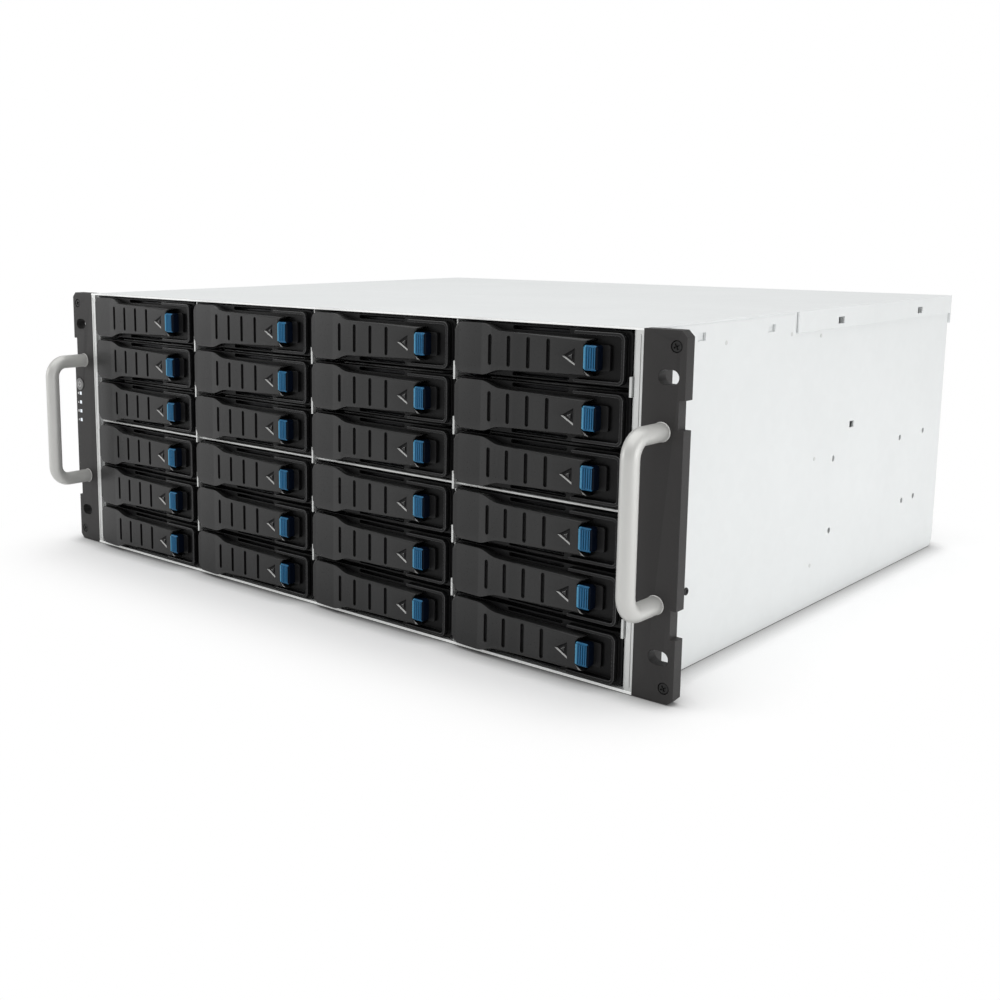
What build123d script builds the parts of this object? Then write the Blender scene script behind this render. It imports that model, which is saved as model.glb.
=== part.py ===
from build123d import *
import math
import os

os.makedirs("parts", exist_ok=True)

# Millimetres. X runs right, Y runs back from the rack plane, Z runs up from the underside.

# Disk drive, which the trays are made round
drive_width = 101.6
drive_height = 26.1
drive_length = 147.0
drive_front = 0.5

# Trays
carrier_wall = 1.2
carrier_floor = 0.6
carrier_rail = 13.0
carrier_room = 0.5
carrier_lift = 0.4
carrier_window_inset = 15.0
carrier_window_end = 20.0
drive_room = 0.2
tray_rise = 0.7
slide_gap = 0.2
seat_gap = 0.1
running_gap = 0.1
bezel_front = -9.0
bezel_floor = -5.2
bezel_back = -2.5
bezel_corner = 2.2
bezel_vent_width = 34.0
bezel_vent_height = 2.0
bezel_vent_inset = 0.8

# Drive bays
columns = 4
rows = 6
column_gap = 2.3
row_gap = 2.2
shelf_thick = 1.2
divider = 0.8
bay_end_room = 0.9
side_room = 5.6
cage_bar = 4.0
cage_margin = 12.0
runner_width = 4.0
runner_thick = 1.0
runner_start = 4.5

# Body of folded sheet
sheet = 1.2
front_strip = 4.4
body_front = -5.0
body_rear = 394.0
rear_corner = 5.0

# Holes of each side wall, as distances ahead of the rear and up
rail_holes = [(179.8, 86.4), (74.4, 86.4), (32.9, 86.4), (63.6, 42.2), (42.8, 42.2), (179.8, 42.2)]
rail_hole_radius = 1.9
key_slot = (155.5, 104.6)
key_slot_length = 6.0
key_slot_width = 4.0

# Covers and their thumbscrews
front_slots = (47.4, 123.8)
rear_slots = (182.8, 57.5)
cover_seam = 154.0
cover_lip = 12.0
cover_rear_lip = 19.0
cover_slot_length = 8.0
cover_slot_width = 4.0
cover_slot_drop = 7.5
thumbscrew_inset = 69.0
thumbscrew_drop = 11.0
thumbscrew_shank = 1.8
thumbscrew_head = 5.0
thumbscrew_length = 9.0

# Lever and catch
lever_margin = 0.4
lever_neck = 19.6
lever_tip = 17.8
lever_front = -11.5
lever_back = -5.5
lever_chamfer = 1.3
lever_inset = 1.0
shoulder_start = 18.5
shoulder_length = 12.5
slot_count = 4
slot_pitch = 12.0
slot_width = 2.2
slot_height = 15.6
slot_depth = 1.6
first_slot = 24.0
catch_width = 8.0
catch_height = 12.4
catch_inset = 19.0
catch_front = -12.3
catch_chamfer = 0.7
catch_travel = 3.5
stem_width = 3.0
stem_height = 5.0
foot_height = 9.0
tongue_thick = 1.5
tongue_margin = 0.5
mark_length = 7.0
mark_height = 6.6
mark_gap = 5.2
mark_depth = 0.8
lever_pivot_radius = 3.0
lug_radius = 1.9
lug_height = 7.4
pin_radius = 1.0

# Rim of the bezel round the catch
rim_wall = 1.8
rim_length = 28.0
rim_inset = 1.0
rim_corner = 3.2

# Ears and handles
ear_width = 22.3
ear_thick = 7.0
ear_flange = 18.0
ear_flange_thick = 1.5
ear_flange_margin = 2.0
ear_notch_height = 14.0
ear_notch_depth = 3.0
ear_notch_middle = 49.5
ear_corner = 3.0
rack_slot_inset = 8.75
rack_slot_rise = 133.35
rack_slot_length = 10.6
rack_slot_width = 7.0
ear_screw_inset = 7.5
ear_screw_side = 5.3
face_screw_radius = 2.8
face_screw_sink = 1.5
handle_side = 11.3
handle_span = 82.5
handle_reach = 26.5
handle_radius = 4.5
handle_bend = 10.0

# Front panel in the left ear
panel_side = 5.1
button_rise = 23.8
button_radius = 4.2
button_proud = 0.6
collar_width = 8.0
collar_height = 10.0
collar_thick = 0.8
lens_rise = 17.2
lens_pitch = 6.35
lens_count = 4
lens_size = 2.2
panel_wall = 3.0
panel_board_width = 8.4
panel_board_margin = 7.0

# Backplane
board_thick = 1.6
window_width = 80.0
window_height = 9.0
window_rise = 4.5
socket_width = 42.0
socket_height = 6.0
socket_gap = 3.0
socket_side = 14.0
socket_drop = 6.5
feed_width = 22.0
feed_height = 9.0
feed_rise = 58.0
feed_depth = 9.0

# Fan wall
fan_size = 120.0
fan_depth = 25.0
fan_rim = 3.0
fan_gap = 20.0
fan_spacing = 20.0
fan_border = 7.0
fan_hub = 19.0
hub_cap = 1.5
hub_cap_radius = 12.0
fan_blades = 7
blade_chord = 24.0
blade_camber = 4.5
blade_thick = 1.6
blade_pitch = 35
blade_gap = 1.5
strut_thick = 4.0
wall_drop = 12.0
wall_foot = 10.0

# Power supplies
psu_width = 73.5
psu_height = 40.0
psu_gap = 19.0
psu_inset = 42.0
psu_floor = 9.0
psu_shelf = 1.0
psu_clear = 0.4
psu_proud = 0.6
psu_grille_side = -18.0
psu_grille_width = 30.0
psu_grille_slots = 6
psu_grille_pitch = 5.5
psu_grille_slot = 3.0
psu_grille_depth = 3.0
inlet_side = 20.0
inlet_width = 24.0
inlet_height = 17.0
inlet_depth = 14.0
inlet_corner = 4.0
inlet_drop = 2.0
bail_width = 32.0
bail_reach = 18.0
bail_thick = 5.0
bail_wall = 4.0
bail_drop = 8.0
tab_side = 14.0
tab_width = 9.0
tab_reach = 8.0
tab_thick = 3.0

# Expander board
card_x = 66.0
card_width = 120.0
card_gap = 57.0
card_lift = 12.0
card_rear_room = 6.0
standoff_radius = 3.2
standoff_inset = 6.0
sink_width = 42.0
sink_start = 18.0
sink_base = 4.0
fin_count = 7
fin_thick = 1.5
fin_height = 12.0
port_width = 20.0
port_height = 11.0
port_count = 3
port_pitch = 24.0
port_wall = 1.0
port_depth = 22.0
port_length = 30.0
port_proud = 1.0

# Rear panel
panel_side_lip = 10.0
vent_x = 40.0
vent_width = 70.0
vent_height = 9.0
vent_column_pitch = 80.0
vent_row_pitch = 18.0
vent_columns = 4
vent_rows = 5
vent_drop = 87.0
side_vent_width = 60.0
side_vent_rows = 2
side_vent_drop = 55.0

# Worked out from the sizes above
tray_width = drive_width + 2 * (carrier_wall + drive_room)
tray_height = drive_height + tray_rise
carrier_drop = tray_height / 2 - carrier_lift
carrier_rear = drive_front + drive_length + carrier_room
cage_rear = carrier_rear + cage_margin
column_pitch = tray_width + column_gap
row_pitch = tray_height + row_gap
half_bays = columns * column_pitch / 2
half_body = half_bays + side_room
body_width = 2 * half_body
body_height = rows * row_pitch + shelf_thick + 2 * bay_end_room
half_rack = half_body + ear_width
wall_inner = half_body - sheet
cover_bottom = body_height - sheet
panel_inner = body_rear - sheet
middle_z = body_height / 2
column_centres = [(c - (columns - 1) / 2) * column_pitch for c in range(columns)]
row_offsets = [((rows - 1) / 2 - r) * row_pitch for r in range(rows)]
row_centres = [middle_z + z + (shelf_thick / 2 if z > 0 else -shelf_thick / 2) for z in row_offsets]
cover_slots = [*front_slots, *[body_rear - ahead for ahead in rear_slots]]
lever_height = tray_height - 2 * lever_margin
lever_left = -tray_width / 2 + lever_inset
lever_pivot = (lever_left + lever_pivot_radius, (lever_front + lever_back) / 2)
catch_x = tray_width / 2 - catch_inset
catch_left = catch_x - catch_width / 2
catch_floor = lever_back - 2 * tongue_thick
notch_x = catch_left - slide_gap
notch_half = catch_height / 2 + 2 * slide_gap
tongue_end = catch_x + catch_width / 2 + catch_travel + tongue_margin
rim_height = tray_height - 2 * rim_inset
thumbscrew_x = half_body - thumbscrew_inset
thumbscrew_places = [(side * thumbscrew_x, body_height - thumbscrew_drop) for side in (-1, 1)]
handle_x = half_rack - handle_side
panel_x = half_rack - panel_side
button_z = middle_z + button_rise
lens_heights = [middle_z + lens_rise - n * lens_pitch for n in range(lens_count)]
ear_screw_heights = (ear_screw_inset, body_height - ear_screw_inset)
fan_front = cage_rear + fan_gap
fan_back = fan_front + fan_depth
fan_bore = fan_size / 2 - fan_rim
fan_places = [((n - 1) * (fan_size + fan_spacing), middle_z) for n in range(3)]
psu_front = fan_back + psu_gap
psu_x = psu_inset - half_body
psu_pitch = psu_height + psu_shelf + 2 * psu_clear
psu_levels = [psu_floor + psu_shelf + psu_clear + n * psu_pitch for n in range(2)]
psu_face = body_rear + psu_proud
card_front = fan_back + card_gap


def facing_front(y):
    """A sketch plane at depth y whose normal points forwards, with X right and Z up."""
    return Plane.XZ.offset(-y)


def write(piece, name):
    piece.part.label = name
    export_step(piece.part, f"parts/{name}.step")


# Body tub: floor, side walls, folded strips beside the bays
with BuildPart() as chassis_tub:
    with BuildSketch(Plane.YZ.offset(-half_body)):
        with BuildLine():
            Polyline(
                (body_front, 0),
                (body_rear - rear_corner, 0),
                (body_rear, rear_corner),
                (body_rear, cover_bottom),
                (body_front, cover_bottom),
                close=True,
            )
        make_face()
    extrude(amount=body_width)
    with BuildSketch(Plane.YZ.offset(-wall_inner)):
        corner_inset = sheet * math.tan(math.radians(22.5))
        with BuildLine():
            Polyline(
                (body_front - sheet, sheet),
                (body_rear - rear_corner - corner_inset, sheet),
                (body_rear + sheet, rear_corner + corner_inset + 2 * sheet),
                (body_rear + sheet, body_height),
                (body_front - sheet, body_height),
                close=True,
            )
        make_face()
    extrude(amount=2 * wall_inner, mode=Mode.SUBTRACT)
    strip_x = half_body - front_strip / 2
    with BuildSketch(facing_front(body_front + sheet)):
        with Locations((-strip_x, cover_bottom / 2), (strip_x, cover_bottom / 2)):
            Rectangle(front_strip, cover_bottom)
    extrude(amount=sheet)
    with BuildSketch(Plane.YZ):
        cover_slot_z = body_height - cover_slot_drop
        with Locations([(y, cover_slot_z) for y in cover_slots]):
            Rectangle(cover_slot_length, cover_slot_width)
        with Locations([(body_rear - ahead, z) for ahead, z in rail_holes]):
            Circle(rail_hole_radius)
        with Locations((body_rear - key_slot[0], key_slot[1])):
            Rectangle(key_slot_length, key_slot_width)
    extrude(amount=half_body, both=True, mode=Mode.SUBTRACT)

# Fixed front cover with lips tucked inside the walls
with BuildPart() as front_cover:
    with BuildSketch(Plane.XY.offset(cover_bottom)):
        with Locations((0, (body_front + cover_seam) / 2)):
            Rectangle(body_width, cover_seam - body_front)
    extrude(amount=sheet)
    lip_x = wall_inner - slide_gap - sheet / 2
    lip_length = cover_seam - 2 * rear_corner
    with BuildSketch(Plane.XY.offset(cover_bottom - cover_lip)):
        with Locations((-lip_x, cover_seam / 2), (lip_x, cover_seam / 2)):
            Rectangle(sheet, lip_length)
    extrude(amount=cover_lip)

# Rear cover that slides back, with side lips outside the walls and a lip behind the rear panel
cover_half = half_body + slide_gap + sheet
cover_end = body_rear + slide_gap + sheet
with BuildPart() as rear_cover:
    with BuildSketch(Plane.XY.offset(body_height - cover_rear_lip)):
        with Locations((0, cover_end - sheet / 2)):
            Rectangle(2 * cover_half, sheet)
    extrude(amount=cover_rear_lip)
    with BuildSketch(Plane.XY.offset(body_height - cover_lip)):
        cover_start = cover_seam + slide_gap
        with Locations(
            (-cover_half + sheet / 2, (cover_start + cover_end) / 2),
            (cover_half - sheet / 2, (cover_start + cover_end) / 2),
        ):
            Rectangle(sheet, cover_end - cover_start)
    extrude(amount=cover_lip)
    with BuildSketch(Plane.XY.offset(cover_bottom)):
        with Locations((0, (cover_start + cover_end) / 2)):
            Rectangle(2 * cover_half, cover_end - cover_start)
    extrude(amount=sheet)
    with BuildSketch(Plane.YZ):
        with Locations([(y, cover_slot_z) for y in cover_slots if y > cover_seam]):
            Rectangle(cover_slot_length, cover_slot_width)
    extrude(amount=cover_half, both=True, mode=Mode.SUBTRACT)
    with BuildSketch(facing_front(cover_end)):
        with Locations(thumbscrew_places):
            Circle(thumbscrew_shank + running_gap)
    extrude(amount=sheet, mode=Mode.SUBTRACT)

# Captive thumbscrews of the rear cover, shown released
for place_xz, name in zip(thumbscrew_places, ("thumbscrew_left", "thumbscrew_right")):
    with BuildPart() as thumbscrew:
        with BuildSketch(facing_front(cover_end + seat_gap + thumbscrew_length)):
            with Locations(place_xz):
                Circle(thumbscrew_head)
        extrude(amount=thumbscrew_length)
        with BuildSketch(facing_front(cover_end + seat_gap)):
            with Locations(place_xz):
                Circle(thumbscrew_shank)
        extrude(amount=seat_gap + sheet)
    write(thumbscrew, name)

# Rear panel with air slots and openings for the power supplies and ports
port_z = card_lift + board_thick
with BuildPart() as rear_panel:
    panel_bottom = rear_corner + 2 * sheet
    panel_top = cover_bottom - slide_gap
    panel_half = wall_inner - slide_gap
    with BuildSketch(facing_front(body_rear)):
        with Locations((0, (panel_bottom + panel_top) / 2)):
            Rectangle(2 * panel_half, panel_top - panel_bottom)
        psu_top = psu_levels[1] + psu_height + psu_clear
        with Locations((psu_x, (psu_levels[0] - psu_clear + psu_top) / 2)):
            Rectangle(psu_width + 2 * psu_clear, psu_top - psu_levels[0] + psu_clear, mode=Mode.SUBTRACT)
        with Locations((card_x, port_z + port_height / 2)):
            port_opening = port_count * port_pitch + 2 * port_wall
            Rectangle(port_opening, port_height + 2 * port_wall, mode=Mode.SUBTRACT)
        with Locations((vent_x, body_height - vent_drop)):
            with GridLocations(vent_column_pitch, vent_row_pitch, vent_columns, vent_rows):
                Rectangle(vent_width, vent_height, mode=Mode.SUBTRACT)
        with Locations((psu_x, body_height - side_vent_drop)):
            with GridLocations(0, vent_row_pitch, 1, side_vent_rows):
                Rectangle(side_vent_width, vent_height, mode=Mode.SUBTRACT)
        with Locations(thumbscrew_places):
            Circle(thumbscrew_shank + running_gap, mode=Mode.SUBTRACT)
    extrude(amount=sheet)
    with BuildSketch(facing_front(panel_inner)):
        lip_middle = panel_half - sheet / 2
        with Locations([(side * lip_middle, (panel_bottom + panel_top) / 2) for side in (-1, 1)]):
            Rectangle(sheet, panel_top - panel_bottom - 2 * rear_corner)
    extrude(amount=panel_side_lip)

# Cage of vertical dividers joined by bars at its rear
cage_top = cover_bottom - slide_gap
divider_centres = [(n - columns / 2) * column_pitch for n in range(columns + 1)]
with BuildPart() as drive_cage:
    with BuildSketch(Plane.XY.offset(sheet)):
        with Locations([(x, (body_front + cage_rear) / 2) for x in divider_centres]):
            Rectangle(divider, cage_rear - body_front)
    extrude(amount=cage_top - sheet)
    with BuildSketch(facing_front(cage_rear)):
        with Locations((0, cage_top - cage_bar / 2), (0, sheet + cage_bar / 2)):
            Rectangle(2 * half_bays, cage_bar)
    extrude(amount=sheet)
    with BuildSketch(facing_front(cage_rear)):
        with Locations((0, middle_z)):
            Rectangle(2 * half_bays - divider, shelf_thick + 2 * seat_gap)
    extrude(amount=cage_rear - body_front + sheet, mode=Mode.SUBTRACT)

# Runners on the dividers, one under each side of each tray
with BuildPart() as tray_runners:
    runner_front = bezel_back + runner_start
    with BuildSketch(facing_front(carrier_rear)):
        runner_side = (column_pitch - divider - runner_width) / 2
        runner_drop = carrier_drop + slide_gap + runner_thick / 2
        for z in row_centres:
            for x in column_centres:
                with Locations((x - runner_side, z - runner_drop), (x + runner_side, z - runner_drop)):
                    Rectangle(runner_width, runner_thick)
    extrude(amount=carrier_rear - runner_front)

# Middle shelf between the third and fourth rows
with BuildPart() as mid_shelf:
    with BuildSketch(Plane.XY.offset(middle_z - shelf_thick / 2)):
        shelf_rear = cage_rear - 2 * sheet
        with Locations((0, (body_front + shelf_rear) / 2)):
            Rectangle(2 * half_bays - divider - 2 * seat_gap, shelf_rear - body_front)
    extrude(amount=shelf_thick)

# Backplane board behind the cage, with air windows between the sockets
with BuildPart() as backplane_board:
    board_bottom = sheet + cage_bar / 2
    board_top = cage_top - cage_bar / 2
    with BuildSketch(facing_front(cage_rear + board_thick)):
        with Locations((0, (board_bottom + board_top) / 2)):
            Rectangle(2 * half_bays, board_top - board_bottom)
        with Locations([(x, z + window_rise) for x in column_centres for z in row_centres[::2]]):
            Rectangle(window_width, window_height, mode=Mode.SUBTRACT)
    extrude(amount=board_thick)

# Sockets of the backplane: one for each drive at its front, power feeds at its rear
with BuildPart() as backplane_sockets:
    socket_back = cage_rear - seat_gap
    with BuildSketch(facing_front(socket_back)):
        with Locations([(x - socket_side, z - socket_drop) for x in column_centres for z in row_centres]):
            Rectangle(socket_width, socket_height)
    extrude(amount=socket_back - carrier_rear - socket_gap)
    with BuildSketch(facing_front(cage_rear + board_thick + feed_depth)):
        with Locations([(x, middle_z + rise) for x in column_centres for rise in (-feed_rise, feed_rise)]):
            Rectangle(feed_width, feed_height)
    extrude(amount=feed_depth)

# Fan wall with three openings and a foot flange
with BuildPart() as fan_wall:
    wall_top = body_height - wall_drop
    with BuildSketch(facing_front(fan_back + sheet)):
        with Locations((0, (sheet + wall_top) / 2)):
            Rectangle(2 * (wall_inner - slide_gap), wall_top - sheet)
        with Locations(fan_places):
            Rectangle(fan_size - 2 * fan_border, fan_size - 2 * fan_border, mode=Mode.SUBTRACT)
    extrude(amount=sheet)
    with BuildSketch(Plane.XY.offset(sheet)):
        with Locations((0, fan_back + sheet + wall_foot / 2)):
            Rectangle(2 * (wall_inner - slide_gap), wall_foot)
    extrude(amount=sheet)

# Fan frames with motor mounts and struts
with BuildPart() as fan_frames:
    with BuildSketch(facing_front(fan_back)):
        with Locations(fan_places):
            Rectangle(fan_size, fan_size)
            Circle(fan_bore, mode=Mode.SUBTRACT)
    extrude(amount=fan_depth)
    with BuildSketch(facing_front(fan_back)):
        with Locations(fan_places):
            Circle(fan_hub + 1.0)
            with PolarLocations((fan_bore + fan_hub) / 2, 4, 45):
                Rectangle(fan_bore - fan_hub + 1, strut_thick)
    extrude(amount=strut_thick)

# Fan rotors, each with a faceted hub, a round cap and pitched blades bent along their middle
hub_back = fan_back - strut_thick - slide_gap - seat_gap
blade_y = (fan_front + hub_back) / 2
for n, (x, z) in enumerate(fan_places):
    with BuildPart() as rotor:
        with BuildSketch(facing_front(hub_back)):
            with Locations((x, z)):
                RegularPolygon(fan_hub, 3 * fan_blades)
        extrude(amount=hub_back - fan_front - hub_cap)
        with BuildSketch(facing_front(fan_front + hub_cap)):
            with Locations((x, z)):
                Circle(hub_cap_radius)
        extrude(amount=hub_cap - seat_gap)
        for step in range(fan_blades):
            pitched = Plane((x, blade_y, z)).rotated((0, 0, blade_pitch))
            blade_root = pitched.rotated((0, step * 360 / fan_blades, 0)).offset(fan_hub / 2)
            with BuildSketch(blade_root):
                with BuildLine():
                    low, high = -blade_thick / 2, blade_thick / 2
                    Polyline((-blade_chord / 2, low), (0, blade_camber + low), (blade_chord / 2, low))
                    Polyline((-blade_chord / 2, high), (0, blade_camber + high), (blade_chord / 2, high))
                    Line((-blade_chord / 2, low), (-blade_chord / 2, high))
                    Line((blade_chord / 2, low), (blade_chord / 2, high))
                make_face()
            extrude(amount=fan_bore - blade_gap - fan_hub / 2)
    write(rotor, f"fan_rotor_{n + 1}")

# Expander board on standoffs, with a finned heat sink
card_rear = panel_inner - card_rear_room
with BuildPart() as expander_board:
    with BuildSketch(Plane.XY.offset(card_lift)):
        with Locations((card_x, (card_front + card_rear) / 2)):
            Rectangle(card_width, card_rear - card_front)
    extrude(amount=board_thick)
    with BuildSketch(Plane.XY.offset(sheet)):
        with Locations((card_x, (card_front + card_rear) / 2)):
            along = card_rear - card_front - 2 * standoff_inset
            with GridLocations(card_width - 2 * standoff_inset, along, 2, 2):
                RegularPolygon(standoff_radius, 6)
    extrude(amount=card_lift - sheet)
    with BuildSketch(facing_front(card_front + sink_start + sink_width)):
        with Locations((card_x, port_z + sink_base / 2)):
            Rectangle(sink_width, sink_base)
        with Locations((card_x, port_z + sink_base + fin_height / 2 - seat_gap)):
            with GridLocations((sink_width - fin_thick) / (fin_count - 1), 0, fin_count, 1):
                Rectangle(fin_thick, fin_height)
    extrude(amount=sink_width)

# Port cages on the expander board, open to the rear
with BuildPart() as port_cages:
    with BuildSketch(facing_front(body_rear + port_proud)) as port_rows:
        with Locations((card_x, port_z + seat_gap + port_height / 2)):
            with GridLocations(port_pitch, 0, port_count, 1):
                Rectangle(port_width, port_height)
    extrude(amount=port_length)
    with BuildSketch(facing_front(body_rear + port_proud)):
        offset(port_rows.sketch, amount=-port_wall)
    extrude(amount=port_depth, mode=Mode.SUBTRACT)

# Cage that holds the two power supplies one over the other
psu_half = psu_width / 2 + psu_clear
with BuildPart() as psu_cage:
    psu_cage_rear = panel_inner - seat_gap
    psu_cage_top = psu_levels[1] + psu_height + psu_clear + sheet
    with BuildSketch(facing_front(psu_cage_rear)):
        with Locations((psu_x, (sheet + psu_cage_top) / 2)):
            Rectangle(2 * (psu_half + sheet), psu_cage_top - sheet)
        with Locations((psu_x, (sheet + psu_floor) / 2)):
            Rectangle(2 * psu_half, psu_floor - sheet, mode=Mode.SUBTRACT)
        with Locations([(psu_x, z + psu_height / 2) for z in psu_levels]):
            Rectangle(2 * psu_half, psu_height + 2 * psu_clear, mode=Mode.SUBTRACT)
    extrude(amount=psu_cage_rear - psu_front + sheet)
    # foot cut short of the body's rear corner
    with BuildSketch(Plane.XY):
        with Locations((psu_x, body_rear)):
            Rectangle(2 * (psu_half + 2 * sheet), 4 * rear_corner)
    extrude(amount=psu_floor, mode=Mode.SUBTRACT)

# Power supply modules with a grille, inlet, bail handle and release tab
for n, level in enumerate(psu_levels):
    with BuildPart() as psu:
        with BuildSketch(facing_front(psu_face)):
            with Locations((psu_x, level + psu_height / 2)):
                Rectangle(psu_width, psu_height)
        extrude(amount=psu_face - psu_front)
        with BuildSketch(facing_front(psu_face)):
            with Locations((psu_x + psu_grille_side, level + psu_height / 2)):
                with GridLocations(0, psu_grille_pitch, 1, psu_grille_slots):
                    Rectangle(psu_grille_width, psu_grille_slot)
        extrude(amount=psu_grille_depth, mode=Mode.SUBTRACT)
        with BuildSketch(facing_front(psu_face)) as inlet:
            with Locations((psu_x + inlet_side, level + psu_height / 2 - inlet_drop)):
                Rectangle(inlet_width, inlet_height)
            chamfer(inlet.vertices().group_by(Axis.Z)[0], inlet_corner)
        extrude(amount=inlet_depth, mode=Mode.SUBTRACT)
        with BuildSketch(Plane.XY.offset(level + psu_height - bail_drop)) as bail:
            with Locations((psu_x + psu_grille_side, psu_face + bail_reach / 2)):
                Rectangle(bail_width, bail_reach)
            fillet(bail.vertices().group_by(Axis.Y)[-1], bail_thick)
            with Locations((psu_x + psu_grille_side, psu_face + (bail_reach - bail_wall) / 2)):
                Rectangle(bail_width - 2 * bail_wall, bail_reach - bail_wall, mode=Mode.SUBTRACT)
        extrude(amount=bail_thick)
        with BuildSketch(Plane.XY.offset(level + psu_height - bail_drop + sheet)):
            with Locations((psu_x + tab_side, psu_face + tab_reach / 2)):
                Rectangle(tab_width, tab_reach)
        extrude(amount=tab_thick)
    write(psu, f"psu_{n + 1}")


def rack_ear(side):
    """One ear plate with its rack slots, outer notches, screw seats and side flange."""
    with BuildPart() as ear:
        middle_x = side * (half_body + half_rack) / 2
        with BuildSketch(facing_front(0)) as plate:
            with Locations((middle_x, middle_z)):
                Rectangle(ear_width, body_height)
            outer_edge = side * half_rack
            chamfer(plate.vertices().filter_by_position(Axis.X, outer_edge, outer_edge), ear_corner)
            with Locations((outer_edge, middle_z)):
                with GridLocations(0, 2 * ear_notch_middle, 1, 2):
                    Rectangle(2 * ear_notch_depth, ear_notch_height, mode=Mode.SUBTRACT)
            with Locations((side * (half_rack - rack_slot_inset), middle_z)):
                with GridLocations(0, rack_slot_rise, 1, 2):
                    SlotOverall(rack_slot_length, rack_slot_width, mode=Mode.SUBTRACT)
        extrude(amount=ear_thick)
        with BuildSketch(Plane.XY.offset(ear_flange_margin)):
            with Locations((side * (half_body + ear_flange_thick / 2), ear_flange / 2)):
                Rectangle(ear_flange_thick, ear_flange)
        extrude(amount=body_height - 2 * ear_flange_margin)
        with BuildSketch(facing_front(-ear_thick + face_screw_sink)):
            with Locations([(side * (half_rack - ear_screw_side), z) for z in ear_screw_heights]):
                Circle(face_screw_radius + running_gap)
        extrude(amount=face_screw_sink, mode=Mode.SUBTRACT)
    return ear


right_ear = rack_ear(1)

# Left ear, with a pocket at its back for the control board, a button bore and lens windows
with BuildPart() as left_ear:
    add(rack_ear(-1).part)
    board_z = (button_z + lens_heights[-1]) / 2
    board_height = button_z - lens_heights[-1] + 2 * panel_board_margin
    with BuildSketch(facing_front(0)):
        with Locations((-panel_x, board_z)):
            Rectangle(panel_board_width + 2 * seat_gap, board_height + 2 * seat_gap)
    extrude(amount=ear_thick - panel_wall, mode=Mode.SUBTRACT)
    with BuildSketch(facing_front(0)):
        with Locations((-panel_x, button_z)):
            Circle(button_radius + running_gap)
        with Locations([(-panel_x, z) for z in lens_heights]):
            Rectangle(lens_size + 2 * seat_gap, lens_size + 2 * seat_gap)
    extrude(amount=ear_thick, mode=Mode.SUBTRACT)

# Round bar handles, each the mirror of its upper half: a leg on the ear, a bend and the bar
bar_y = -ear_thick - handle_reach
bend_y = bar_y + handle_bend
leg_z = middle_z + handle_span / 2
bend_z = leg_z - handle_bend
for side, name in ((-1, "left_handle"), (1, "right_handle")):
    with BuildPart() as handle:
        with BuildSketch(facing_front(-ear_thick)):
            with Locations((side * handle_x, leg_z)):
                Circle(handle_radius)
        extrude(amount=-ear_thick - bend_y)
        with BuildSketch(facing_front(bend_y)):
            with Locations((side * handle_x, leg_z)):
                Circle(handle_radius)
        revolve(axis=Axis((0, bend_y, bend_z), (1, 0, 0)), revolution_arc=90)
        with BuildSketch(Plane.XY.offset(middle_z)):
            with Locations((side * handle_x, bar_y)):
                Circle(handle_radius)
        extrude(amount=bend_z - middle_z)
        mirror(about=Plane.XY.offset(middle_z))
    write(handle, name)

# Power button with a collar behind the ear's front wall
with BuildPart() as power_button:
    collar_front = panel_wall - ear_thick + slide_gap
    with BuildSketch(facing_front(collar_front + collar_thick)):
        with Locations((-panel_x, button_z)):
            Rectangle(collar_width, collar_height)
    extrude(amount=collar_thick)
    with BuildSketch(facing_front(collar_front)):
        with Locations((-panel_x, button_z)):
            Circle(button_radius)
    extrude(amount=panel_wall + slide_gap + button_proud)

# Clear lenses of the status lamps, from the board to the ear's face
with BuildPart() as status_lenses:
    board_front = -board_thick - slide_gap
    with BuildSketch(facing_front(board_front - seat_gap)):
        with Locations([(-panel_x, z) for z in lens_heights]):
            Rectangle(lens_size, lens_size)
    extrude(amount=ear_thick + board_front - seat_gap)

# Control board in the left ear's pocket
with BuildPart() as control_board:
    with BuildSketch(facing_front(board_front + board_thick)):
        with Locations((-panel_x, board_z)):
            Rectangle(panel_board_width, board_height)
    extrude(amount=board_thick)

write(chassis_tub, "chassis_tub")
write(front_cover, "front_cover")
write(rear_cover, "rear_cover")
write(rear_panel, "rear_panel")
write(drive_cage, "drive_cage")
write(tray_runners, "tray_runners")
write(mid_shelf, "mid_shelf")
write(backplane_board, "backplane_board")
write(backplane_sockets, "backplane_sockets")
write(fan_wall, "fan_wall")
write(fan_frames, "fan_frames")
write(expander_board, "expander_board")
write(port_cages, "port_cages")
write(psu_cage, "psu_cage")
write(right_ear, "right_ear")
write(left_ear, "left_ear")
write(power_button, "power_button")
write(status_lenses, "status_lenses")
write(control_board, "control_board")


def shoulder(start, end):
    """An S of two equal arcs from one height of a lever's edge to another."""
    middle = ((start[0] + end[0]) / 2, (start[1] + end[1]) / 2)
    first = TangentArc(start, middle, tangent=(end[0] - start[0], 0))
    return first, TangentArc(middle, end, tangent=first % 1)


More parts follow.
